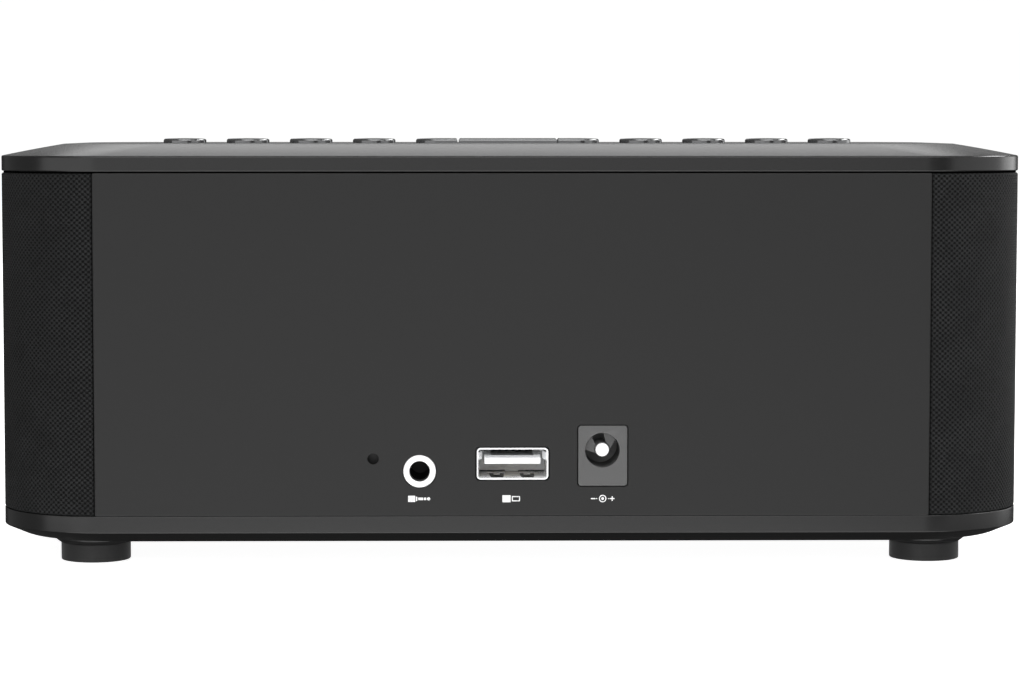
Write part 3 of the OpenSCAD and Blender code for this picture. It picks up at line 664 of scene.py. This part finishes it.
def build_bar_key(node):
    """A stretch of the bar. Its outer end is half round, and its cut ends are square with eased edges."""
    bm = bmesh.new()
    flange_z, flange_top, key_top = key_levels(node)
    lo, hi = box_mm(node)
    left = lo.x if node != "bar_key_left" else None
    right = hi.x if node != "bar_key_right" else None

    def ring(grow, z):
        half_w = BAR_W / 2 + grow
        eased = min(max(-grow, 0), 0.3) * 0.7
        arc = 20
        centre = (BAR_L - BAR_W) / 2
        if right is None:
            turns = [TAU / 2 * i / arc - TAU / 4 for i in range(arc + 1)]
            points = [(centre + half_w * math.cos(a), half_w * math.sin(a)) for a in turns]
        else:
            points = [(right - eased, -half_w), (right - eased, half_w)]
        if left is None:
            turns = [TAU / 2 * i / arc + TAU / 4 for i in range(arc + 1)]
            points += [(-centre + half_w * math.cos(a), half_w * math.sin(a)) for a in turns]
        else:
            points += [(left + eased, half_w), (left + eased, -half_w)]
        return level(points, z)

    steps = [(KEY_FLANGE - 0.1, flange_z), (KEY_FLANGE, flange_z + 0.1), (KEY_FLANGE, flange_top - 0.1)]
    steps += [(KEY_FLANGE - 0.1, flange_top), (0, flange_top)]
    steps += [(-inset, z) for inset, z in key_edge(key_top)]
    steps += [(-1.2, key_top - 0.05), (-2.4, key_top - 0.015), (-3.4, key_top)]
    capped(bm, [ring(grow, z) for grow, z in steps])
    return new_piece(node + "_cap", bm, [node], node)


# ---- Key mat ----

mat_lo, mat_hi = box_mm("key_mat")
MAT_TOP = mat_lo.z + 0.8
DOME_R = 4.28
OUTER_DOME_X = 14.3
CENTRE_DOME_X = 4.9


def dome_places():
    """Where each key's domes stand in X: one under a key, and two under the long one."""
    places = {}
    for key in ROUND_KEYS:
        places[key] = [plan_middle(*box_mm(key))[0]]
    places["bar_key_left"] = [-OUTER_DOME_X]
    places["bar_key_right"] = [OUTER_DOME_X]
    places["bar_key_centre"] = [-CENTRE_DOME_X, CENTRE_DOME_X]
    return places


DOMES = dome_places()


def build_mat():
    """Rubber sheet with a hole under each dome."""
    bm = bmesh.new()
    outer = rounded(mat_hi.x - mat_lo.x, mat_hi.y - mat_lo.y, 0.8, steps=6)
    holes = [circle(DOME_R + 0.02, (x, 0), 40) for places in DOMES.values() for x in places]
    hole_steps = [(0, MAT_TOP), (0, mat_lo.z)]
    outer_steps = [(-0.15, MAT_TOP), (-0.04, MAT_TOP - 0.04), (0, MAT_TOP - 0.15), (0, mat_lo.z)]
    solid(bm, level, outer, outer_steps, holes, [hole_steps] * len(holes))
    return new_piece("key_mat_sheet", bm, ["key_mat"])


def build_dome(name, x):
    """Hollow rubber dome with a flat plunger."""
    bm = bmesh.new()
    foot, top = mat_lo.z + 0.02, mat_hi.z
    shoulder = MAT_TOP + 1.6
    inside = [(0, shoulder - 0.5), (2.3, shoulder - 0.5), (2.7, shoulder - 0.7), (3.7, foot)]
    outside = [(DOME_R, foot), (DOME_R, MAT_TOP - 0.05), (DOME_R - 0.13, MAT_TOP + 0.1)]
    outside += [(3.3, shoulder - 0.15), (3.05, shoulder), (3.0, top - 0.1), (2.9, top), (0, top)]
    turned(bm, inside + outside, (x, 0), 40)
    piece = new_piece(name, bm, ["key_mat"])
    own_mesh(piece)
    return piece


# ---- Rear panel ----

PANEL_FACE = REAR_Y - 0.03
aux_lo, aux_hi = box_mm("aux_jack_ring")
AUX = upright_middle(aux_lo, aux_hi)
AUX_R = (aux_hi.x - aux_lo.x) / 2
usb_lo, usb_hi = box_mm("usb_shell")
USB = upright_middle(usb_lo, usb_hi)
USB_SIZE = upright_size(usb_lo, usb_hi)
dc_lo, dc_hi = box_mm("dc_jack_body")
DC = upright_middle(dc_lo, dc_hi)
DC_SIZE = upright_size(dc_lo, dc_hi)
pin_lo, pin_hi = box_mm("dc_pin")
PIN = upright_middle(pin_lo, pin_hi)
PIN_R = (pin_hi.x - pin_lo.x) / 2
DC_HOLE_R = 3.15
DC_HOLE_BACK = REAR_Y - 9.5
RESET = upright_middle(*box_mm("reset_button"))


def build_panel():
    """Plate with eased edges, three socket openings and a pinhole that widens behind."""
    bm = bmesh.new()
    outer = rounded(*upright_size(panel_lo, panel_hi), 0.3, upright_middle(panel_lo, panel_hi), 4)
    holes = [
        circle(AUX_R + 0.1, AUX, 64),
        rounded(USB_SIZE[0] + 0.4, USB_SIZE[1] + 0.4, 0.8, USB, 8),
        rounded(DC_SIZE[0] + 0.24, DC_SIZE[1] + 0.24, 0.7, DC, 8),
    ]
    outer_steps = [(-0.22, PANEL_FACE), (-0.1, PANEL_FACE - 0.03), (-0.03, PANEL_FACE - 0.1)]
    outer_steps += [(0, PANEL_FACE - 0.22), (0, panel_lo.y)]
    hole_steps = [(0.1, PANEL_FACE), (0.03, PANEL_FACE - 0.03), (0, PANEL_FACE - 0.1), (0, panel_lo.y)]
    pinhole_steps = [(0.08, PANEL_FACE), (0.02, PANEL_FACE - 0.03), (0, PANEL_FACE - 0.1)]
    pinhole_steps += [(0, PANEL_FACE - 0.5), (0.7, PANEL_FACE - 0.6), (0.7, panel_lo.y)]
    all_steps = [hole_steps] * len(holes) + [pinhole_steps]
    solid(bm, behind, outer, outer_steps, holes + [circle(1.0, RESET, 40)], all_steps, margin=0.12)
    return new_piece("panel_plate", bm, ["rear_panel"])


def prism(bm, outline, holes, y0, y1):
    """Straight-sided solid of an X-Z outline, from y0 to y1."""
    solid(bm, behind, outline, [(0, y1), (0, y0)], holes, [[(0, y1), (0, y0)]] * len(holes))


def build_symbols():
    """Printed marks under the sockets: a jack plug, a flat plug and the polarity of the DC input."""
    bm = bmesh.new()
    y0, y1 = PANEL_FACE - 0.03, PANEL_FACE + 0.02
    z = 13.1

    def bar(x, w, h, dz=0.0):
        prism(bm, rounded(w, h, 0.08, (x, z + dz), 3), [], y0, y1)

    def dot(x, r):
        prism(bm, circle(r, (x, z), 20), [], y0, y1)

    x = AUX[0]
    bar(x + 1.45, 1.3, 1.15)
    bar(x + 0.55, 0.26, 0.8)
    bar(x - 0.2, 0.9, 0.48)
    bar(x - 1.0, 0.45, 0.48)
    dot(x - 1.65, 0.3)
    x = USB[0]
    bar(x + 1.1, 1.5, 1.3)
    tip = (x - 0.62, z)
    prism(bm, rounded(1.5, 0.96, 0.1, tip, 3), [rounded(1.14, 0.6, 0.05, tip, 3)], y0, y1)
    x = DC[0]
    bar(x + 1.75, 0.85, 0.2)
    bar(x + 1.12, 0.32, 0.14)
    prism(bm, circle(0.68, (x, z), 28), [circle(0.51, (x, z), 28)], y0, y1)
    dot(x, 0.26)
    bar(x - 1.12, 0.32, 0.14)
    bar(x - 1.75, 0.85, 0.2)
    bar(x - 1.75, 0.2, 0.325, 0.265)
    bar(x - 1.75, 0.2, 0.325, -0.265)
    return new_piece("port_symbols", bm, slot="rear_shell", material=print_ink())


def print_ink():
    """Pad-printed pale ink, thin and a little uneven."""
    f = Finish("pale_ink")
    wear = f.noise(0.4, 4, 0.7)
    f.colour(f.mix(f.ramp(wear, 0, 1, 0.25, 0.6), grey(0.6), grey(0.85)))
    f.roughness(f.ramp(wear, 0.45, 0.6))
    f.bump(wear, 0.002)
    return f.material


# ---- Sockets ----

def build_aux():
    """Ring of the 3.5 mm jack, with its bore."""
    bm = bmesh.new()
    bore = 1.88
    face = REAR_Y - 0.02
    profile = [(AUX_R, aux_lo.y), (AUX_R, face - 0.22), (AUX_R - 0.06, face - 0.07), (AUX_R - 0.2, face)]
    profile += [(bore + 0.1, face), (bore + 0.03, face - 0.03), (bore, face - 0.1), (bore, face - 0.3)]
    profile += [(2.5, face - 0.5), (2.5, aux_lo.y)]
    turned(bm, profile, AUX, 72, upright=False)
    return new_piece("aux_ring_turned", bm, ["aux_jack_ring"])


def build_usb_shell():
    """Folded steel shell. Its floor has two windows, each with a sprung leaf, and a slot between them.
    A spring stands at each side."""
    bm = bmesh.new()
    half_w, half_h = USB_SIZE[0] / 2, USB_SIZE[1] / 2
    t = 0.3
    r = 0.75
    cx, cz = USB
    front, back = REAR_Y - 0.01, usb_lo.y
    floor_half = half_w - r
    floor_z = cz - half_h

    def channel(shrink):
        outer, inner = [], []
        for sx, sz, start in ((-1, -1, 0.75), (-1, 1, 0.5), (1, 1, 0.25), (1, -1, 0.0)):
            for i in range(9):
                a = TAU * (start - 0.25 * i / 8)
                x, z = cx + sx * floor_half, cz + sz * (half_h - r)
                outer.append((x + (r - shrink) * math.cos(a), z + (r - shrink) * math.sin(a)))
                inner.append((x + (r - t + shrink) * math.cos(a), z + (r - t + shrink) * math.sin(a)))
        return outer + inner[::-1]

    steps = [(0.07, front), (0.02, front - 0.02), (0, front - 0.07), (0, back)]
    capped(bm, [behind(channel(shrink), y) for shrink, y in steps])
    reach, plate_front = floor_half + 0.02, front - 0.03
    plate = polygon([(cx - reach, back), (cx + reach, back), (cx + reach, plate_front),
                     (cx - reach, plate_front)])
    window_places = (cx - 2.8, cx + 2.8)
    half_window = [(1.4, -10.4), (1.35, -6), (1.1, -1.3)]
    windows = []
    for x in window_places:
        windows.append(polygon([(x - w, REAR_Y + y) for w, y in half_window]
                               + [(x + w, REAR_Y + y) for w, y in half_window[::-1]]))
    windows.append(rounded(2.3, 0.9, 0.2, (cx, REAR_Y - 4.8), 3))
    heights = [(0, floor_z + t - 0.005), (0, floor_z + 0.005)]
    solid(bm, level, plate, heights, windows, [heights] * len(windows))
    leaf_w, leaf_t = 0.6, 0.07
    for x in window_places:
        leaf = []
        for y, lift in ((-10.3, 0.0), (-9.0, 0.06), (-7.9, 0.12), (-7.1, 0.06)):
            z = floor_z + t / 2 + lift
            leaf.append([(x - leaf_w, REAR_Y + y, z - leaf_t), (x + leaf_w, REAR_Y + y, z - leaf_t),
                         (x + leaf_w, REAR_Y + y, z + leaf_t), (x - leaf_w, REAR_Y + y, z + leaf_t)])
        capped(bm, leaf)
    spring_t, spring_low, spring_high = 0.12, cz + 0.7, cz + 2.1
    for side in (-1, 1):
        spring = []
        for inset, y in ((0.1, -0.5), (0.35, -1.1), (0.7, -2.0), (0.75, -2.6), (0.4, -4.4)):
            x = cx + side * (half_w - t - inset)
            back_x = x + side * spring_t
            spring.append([(x, REAR_Y + y, spring_low), (x, REAR_Y + y, spring_high),
                           (back_x, REAR_Y + y, spring_high), (back_x, REAR_Y + y, spring_low)])
        capped(bm, spring)
    return new_piece("usb_shell_folded", bm, ["usb_shell"])


def build_usb_insulator():
    """Tongue with a chamfered nose and a trough behind it, on a block that is open above it."""
    bm = bmesh.new()
    lo, hi = box_mm("usb_insulator")
    cx = USB[0]
    tongue_z = box_mm("usb_contacts")[1].z
    tongue_half, tongue_t, nose_t = 5.15, 1.45, 1.1
    trough_half, trough_t = 3.85, 1.0
    half = (hi.x - lo.x) / 2
    foot_half, foot_gap = 1.2, 0.22
    low_z, trough_z = lo.z + foot_gap, tongue_z + trough_t
    block = [(-half, low_z), (-foot_half, low_z), (-foot_half, lo.z), (foot_half, lo.z)]
    block += [(foot_half, low_z), (half, low_z), (half, hi.z), (trough_half, hi.z)]
    block += [(trough_half, trough_z), (-trough_half, trough_z), (-trough_half, hi.z), (-half, hi.z)]
    prism(bm, polygon([(cx + x, z) for x, z in block]), [], lo.y, lo.y + 2.9)
    sections = [(hi.y, 0.12, nose_t - 0.06, nose_t - 0.06), (hi.y - 0.06, 0.03, nose_t, nose_t)]
    sections += [(hi.y - 1.3, 0, tongue_t, tongue_t - 0.01), (hi.y - 1.4, 0, tongue_t, trough_t)]
    sections.append((lo.y + 2.8, 0, tongue_t, trough_t))
    rings = []
    for y, side_in, top, middle in sections:
        x = tongue_half - side_in
        section = [(-x, 0), (x, 0), (x, top), (trough_half + 0.05, top), (trough_half, middle)]
        section += [(-trough_half, middle), (-trough_half - 0.05, top), (-x, top)]
        rings.append([(cx + across, y, tongue_z + up) for across, up in section])
    capped(bm, rings)
    return new_piece("usb_tongue", bm, ["usb_insulator"], sharp=25)


def build_dc():
    """Face of the DC jack, with its barrel hole."""
    bm = bmesh.new()
    face = REAR_Y - 0.02
    outer = rounded(*DC_SIZE, 0.6, DC, 8)
    outer_steps = [(-0.2, face), (-0.07, face - 0.03), (0, face - 0.15), (0, dc_lo.y)]
    first, last = loft(bm, [behind(outer(grow), y) for grow, y in outer_steps])
    hole = circle(DC_HOLE_R, PIN, 64)
    hole_steps = [(0.14, face), (0.04, face - 0.03), (0, face - 0.14), (0, DC_HOLE_BACK)]
    rim, well = loft(bm, [behind(hole(grow), y) for grow, y in hole_steps])
    cap(bm, first, rim)
    cap(bm, last)
    cap(bm, well)
    return new_piece("dc_body_moulded", bm, ["dc_jack_body"])


def build_dc_contacts():
    """Two sprung blades in the DC barrel. Each is given by the angles its inner and outer edges span."""
    bm = bmesh.new()
    steps = 6
    for inner, outer in (((120, 182), (94, 141)), ((-28, 34), (-1, 51))):
        rows = []
        for radius, (a0, a1) in ((1.42, inner), (3.12, outer)):
            turns = [math.radians(a0 + (a1 - a0) * i / steps) for i in range(steps + 1)]
            rows.append([(PIN[0] + radius * math.cos(a), PIN[1] + radius * math.sin(a)) for a in turns])
        prism(bm, polygon(rows[0] + rows[1][::-1]), [], REAR_Y - 3.4, REAR_Y - 1.6)
    return new_piece("dc_blades", bm, slot="dc_plastic", material=MATERIALS["dc_plastic"])


def build_dc_bush():
    """Pale insulating bush round the foot of the DC pin."""
    bm = bmesh.new()
    outer, inner = circle(DC_HOLE_R - 0.05, PIN, 48), circle(PIN_R + 0.1, PIN, 48)
    prism(bm, outer, [inner], DC_HOLE_BACK + 0.02, DC_HOLE_BACK + 0.5)
    bush = moulded("dc_bush_plastic", grey(0.35), 0.5, 0.15)
    return new_piece("dc_bush", bm, slot="dc_plastic", material=bush)


def build_pin():
    """Centre pin with a rounded tip."""
    bm = bmesh.new()
    tip = pin_hi.y
    r = PIN_R
    profile = [(0, tip), (r - 0.32, tip), (r - 0.12, tip - 0.05), (r - 0.02, tip - 0.2), (r, tip - 0.4)]
    profile += [(r, REAR_Y - 9.4), (1.0, REAR_Y - 9.6), (1.0, pin_lo.y), (0, pin_lo.y)]
    turned(bm, profile, PIN, 48, upright=False)
    return new_piece("dc_pin_turned", bm, ["dc_pin"])


# ---- Front display ----

bezel_lo, bezel_hi = box_mm("display_bezel")
BEZEL = upright_middle(bezel_lo, bezel_hi)
BEZEL_SIZE = upright_size(bezel_lo, bezel_hi)
window_lo, window_hi = box_mm("display_window")
BEZEL_R = 5


def build_bezel():
    """Frame round the display, with a lip behind the window."""
    bm = bmesh.new()
    outer = rounded(*BEZEL_SIZE, BEZEL_R, BEZEL, 12)
    window_w, window_h = upright_size(window_lo, window_hi)
    opening = rounded(window_w + 0.2, window_h + 0.2, 3, BEZEL, 12)
    front, back = bezel_lo.y, bezel_hi.y
    outer_steps = [(-0.7, front), (-0.42, front + 0.04), (-0.18, front + 0.18), (-0.04, front + 0.42)]
    outer_steps += [(0, front + 0.7), (0, back)]
    hole_steps = [(0.2, front), (0.06, front + 0.06), (0, front + 0.2), (0, window_hi.y)]
    hole_steps += [(-1.5, window_hi.y), (-1.5, back)]
    solid(bm, behind, outer, outer_steps, [opening], [hole_steps])
    return new_piece("bezel_moulded", bm, ["display_bezel"])


# ---- Grille cloth ----

# How far the cloth dips at each hole of its weave
CLOTH_DIP = 0.12


def cloth_path():
    """Points along the cloth's outline, from its right rear edge round the front to the left one.
    Each is (x, y, outward x, outward y, distance run)."""
    end_x = (panel_hi.x - panel_lo.x) / 2 + 0.15
    hx, hy = HALF_W - CORNER_R, HALF_D - CORNER_R
    lead = math.asin((end_x - hx) / CORNER_R)
    arc = CORNER_R * TAU / 4
    runs = [("arc", (hx, hy), TAU / 4 - lead, CORNER_R * (TAU / 4 - lead)), ("line", (1, 0), 2 * hy),
            ("arc", (hx, -hy), 0, arc), ("line", (0, -1), 2 * hx), ("arc", (-hx, -hy), -TAU / 4, arc),
            ("line", (-1, 0), 2 * hy), ("arc", (-hx, hy), -TAU / 2, CORNER_R * (TAU / 4 - lead))]
    total = sum(run[-1] for run in runs)
    count = 2 * round(total / WEAVE[0])
    points = []
    for k in range(count + 1):
        s = total * k / count
        left = s
        for n, run in enumerate(runs):
            if left <= run[-1] or n == len(runs) - 1:
                break
            left -= run[-1]
        if run[0] == "arc":
            centre, start = run[1], run[2]
            a = start - left / CORNER_R
            nx, ny = math.cos(a), math.sin(a)
            points.append((centre[0] + CORNER_R * nx, centre[1] + CORNER_R * ny, nx, ny, s))
        else:
            nx, ny = run[1]
            x0, y0 = nx * HALF_W, ny * HALF_D
            if nx:
                points.append((x0, nx * (hy - left), nx, ny, s))
            else:
                points.append((hx - left, y0, nx, ny, s))
    return points


def build_cloth():
    """The cloth as a grid with a vertex for each hole and each crossing, tucked in along its edges."""
    path = cloth_path()
    height = cloth_hi.z - cloth_lo.z
    rows = 2 * round(height / WEAVE[1])
    tuck = [(0.85, 0), (0.45, 0), (0.16, 0.07), (0.03, 0.24)]
    low = [(inset, cloth_lo.z + up) for inset, up in tuck]
    high = [(inset, cloth_hi.z - up) for inset, up in reversed(tuck)]
    levels = low + [(0, cloth_lo.z + height * j / rows) for j in range(1, rows)] + high
    ends = len(tuck)
    count = len(path) - 1
    columns = [(inset, path[0], up) for inset, up in tuck] + [(0, p, 0) for p in path[1:-1]]
    columns += [(inset, path[-1], -up) for inset, up in reversed(tuck)]
    bm = bmesh.new()
    uv = bm.loops.layers.uv.new("weave")
    grid, coords = [], {}
    for i, (side_in, (x, y, nx, ny, s), shift) in enumerate(columns):
        column = []
        along = i - ends + 1
        for j, (level_in, z) in enumerate(levels):
            inset = max(side_in, level_in)
            up = j - ends + 1
            edge = i < ends or j < ends or i >= len(columns) - ends or j >= len(levels) - ends
            if not edge:
                inset = CLOTH_DIP if (along + up) % 2 == 0 else 0.0
                if ny < -0.99:
                    gap = bezel_distance(x, z)
                    if gap < 0.8:
                        inset = max(inset, 0.8 - gap) if gap > 0 else 0.9
            px, py = x + ny * shift, y - nx * shift
            vertex = bm.verts.new((px - nx * inset, py - ny * inset, z))
            coords[vertex] = (s + shift, z - cloth_lo.z)
            column.append(vertex)
        grid.append(column)
    for a, b in zip(grid, grid[1:]):
        for j in range(len(levels) - 1):
            quad = (a[j], b[j], b[j + 1], a[j + 1])
            middle = sum((v.co for v in quad), Vector()) / 4
            if middle.y < -HALF_D + 2 and bezel_distance(middle.x, middle.z) < -0.9:
                continue
            face = bm.faces.new(quad)
            for loop in face.loops:
                loop[uv].uv = coords[loop.vert]
    loose = [v for v in bm.verts if not v.link_faces]
    bmesh.ops.delete(bm, geom=loose, context="VERTS")
    piece = new_piece("cloth_wrap", bm, ["grille_cloth"], sharp=180)
    return piece


def bezel_distance(x, z):
    """How far a point lies outside the bezel's outline. It is below 0 inside."""
    dx = abs(x - BEZEL[0]) - (BEZEL_SIZE[0] / 2 - BEZEL_R)
    dz = abs(z - BEZEL[1]) - (BEZEL_SIZE[1] / 2 - BEZEL_R)
    outside = math.hypot(max(dx, 0), max(dz, 0))
    return outside + min(max(dx, dz), 0) - BEZEL_R


build_cover()
build_gap_shade_strip()
build_base()
for node in foot_centres:
    build_foot(node)
for node in ROUND_KEYS:
    build_round_key(node)
for node in BAR_KEYS:
    build_bar_key(node)
build_mat()
for key, places in DOMES.items():
    for number, x in enumerate(places, 1):
        build_dome(f"{key}_dome_{number}", x)
build_panel()
build_symbols()
build_aux()
build_usb_shell()
build_usb_insulator()
build_dc()
build_dc_contacts()
build_dc_bush()
build_pin()
build_bezel()
build_cloth()


# ---- Floor, backdrop, light and camera ----

def stage_material(name, colour, glow):
    """Matt surface that also glows, so that it stays pale where no lamp reaches."""
    material = bpy.data.materials.new(name)
    material.use_nodes = True
    shader = material.node_tree.nodes["Principled BSDF"]
    shader.inputs["Base Color"].default_value = colour
    shader.inputs["Roughness"].default_value = 0.9
    shader.inputs["Specular IOR Level"].default_value = 0.0
    shader.inputs["Emission Color"].default_value = grey(1)
    shader.inputs["Emission Strength"].default_value = glow
    return material


def stage_piece(name, bm, colour, glow):
    """Part of the stage that only the camera sees, so the lights alone shape the reflections."""
    mesh = bpy.data.meshes.new(name)
    bm.to_mesh(mesh)
    bm.free()
    mesh.materials.append(stage_material(name + "_pale", colour, glow))
    obj = bpy.data.objects.new(name, mesh)
    bpy.context.scene.collection.objects.link(obj)
    obj.visible_diffuse = False
    obj.visible_glossy = False
    obj.visible_transmission = False
    obj.visible_shadow = False


def build_stage():
    """A pale floor under a round pale backdrop, both in metres."""
    bm = bmesh.new()
    bmesh.ops.create_circle(bm, cap_ends=True, segments=96, radius=4.6)
    stage_piece("floor", bm, grey(0.8), 0.95)
    bm = bmesh.new()
    bmesh.ops.create_uvsphere(bm, u_segments=64, v_segments=32, radius=4.8)
    stage_piece("backdrop", bm, grey(0.0), 1.02)


def card(name, azimuth, elevation, distance, width, height, radiance, glossy=True):
    """Soft light aimed at the radio, with angles in degrees and lengths in metres. Azimuth 0 is straight
    behind the radio, on +Y, and grows towards -X. A card that isn't glossy leaves no reflection."""
    data = bpy.data.lights.new(name, "AREA")
    data.shape = "RECTANGLE"
    data.size, data.size_y = width, height
    data.energy = radiance * math.pi * width * height
    light = bpy.data.objects.new(name, data)
    turn, rise = math.radians(azimuth), math.radians(elevation)
    away = Vector((-math.sin(turn) * math.cos(rise), math.cos(turn) * math.cos(rise), math.sin(rise)))
    light.location = Vector((0, 0, (BASE_Z + TOP_Z) / 2 * MM)) + away * distance
    light.rotation_euler = (-away).to_track_quat("-Z", "Y").to_euler()
    light.visible_camera = False
    light.visible_glossy = glossy
    bpy.context.scene.collection.objects.link(light)


def build_lights():
    """Lamps for the reflections that the photograph shows, and two that only fill the front and one side."""
    card("key_high", 0, 55, 2.3, 2.2, 1.2, 3.3)
    card("floor_glow", 0, -38, 0.9, 1.5, 0.7, 2.65)
    card("back_glow", 178.9, 22.5, 1.6, 0.7, 0.36, 1.38)
    card("corner_glow", 179.5, 11, 1.6, 0.9, 0.24, 0.32)
    card("camera_card", 0, -3, 1.5, 0.75, 1.2, 0.72)
    card("socket_fill", 0, 23, 1.5, 0.9, 0.6, 1.6)
    card("front_glow", 180, -20, 1.3, 1.8, 0.6, 5.0, glossy=False)
    card("side_glow", -115, -20, 1.3, 1.2, 0.6, 1.6, glossy=False)
    card("band_glow", 0, -14.6, 0.362, 0.2, 0.12, 0.35)
    card("right_strip", 86, 2, 1.4, 3.2, 0.5, 1.0)
    card("right_core", 122, 4, 1.4, 0.9, 0.5, 1.2)
    card("right_spark", 112, 38, 1.5, 1.8, 0.36, 8.0)
    card("key_streak", 42, 38, 1.5, 0.8, 0.22, 5.0)
    card("left_card", -42, 0, 1.4, 1.5, 0.5, 1.3)
    card("left_soft", -105, 5, 1.5, 2.2, 1.0, 0.12)


def build_world():
    """Dim surround, darkest below and palest above."""
    world = bpy.data.worlds.new("studio")
    world.use_nodes = True
    bpy.context.scene.world = world
    tree = world.node_tree
    background = tree.nodes["Background"]
    place = tree.nodes.new("ShaderNodeTexCoord")
    split = tree.nodes.new("ShaderNodeSeparateXYZ")
    ramp = tree.nodes.new("ShaderNodeValToRGB")
    tree.links.new(place.outputs["Generated"], split.inputs[0])
    shifted = tree.nodes.new("ShaderNodeMath")
    shifted.operation = "MULTIPLY_ADD"
    shifted.inputs[1].default_value = 0.5
    shifted.inputs[2].default_value = 0.5
    tree.links.new(split.outputs[2], shifted.inputs[0])
    tree.links.new(shifted.outputs[0], ramp.inputs[0])
    tree.links.new(ramp.outputs[0], background.inputs[0])
    tones = ramp.color_ramp.elements
    tones[0].color = grey(0.02)
    tones[1].color = grey(0.25)
    tones.new(0.5).color = grey(0.04)


def build_camera():
    """The photographed view: from behind, a little above and a little to one side. Place in metres,
    angles in radians."""
    data = bpy.data.cameras.new("camera")
    data.lens = 109.944
    data.sensor_width = 36
    data.shift_x = 0.019
    camera = bpy.data.objects.new("camera", data)
    yaw, pitch = 0.01368, 0.07186
    camera.location = (0.01176, 0.61648, 0.08117)
    aim = Vector((-math.sin(yaw) * math.cos(pitch), -math.cos(yaw) * math.cos(pitch), -math.sin(pitch)))
    camera.rotation_euler = aim.to_track_quat("-Z", "Y").to_euler()
    bpy.context.scene.collection.objects.link(camera)
    bpy.context.scene.camera = camera


build_stage()
build_lights()
build_world()
build_camera()
bpy.context.scene.view_settings.view_transform = "Standard"
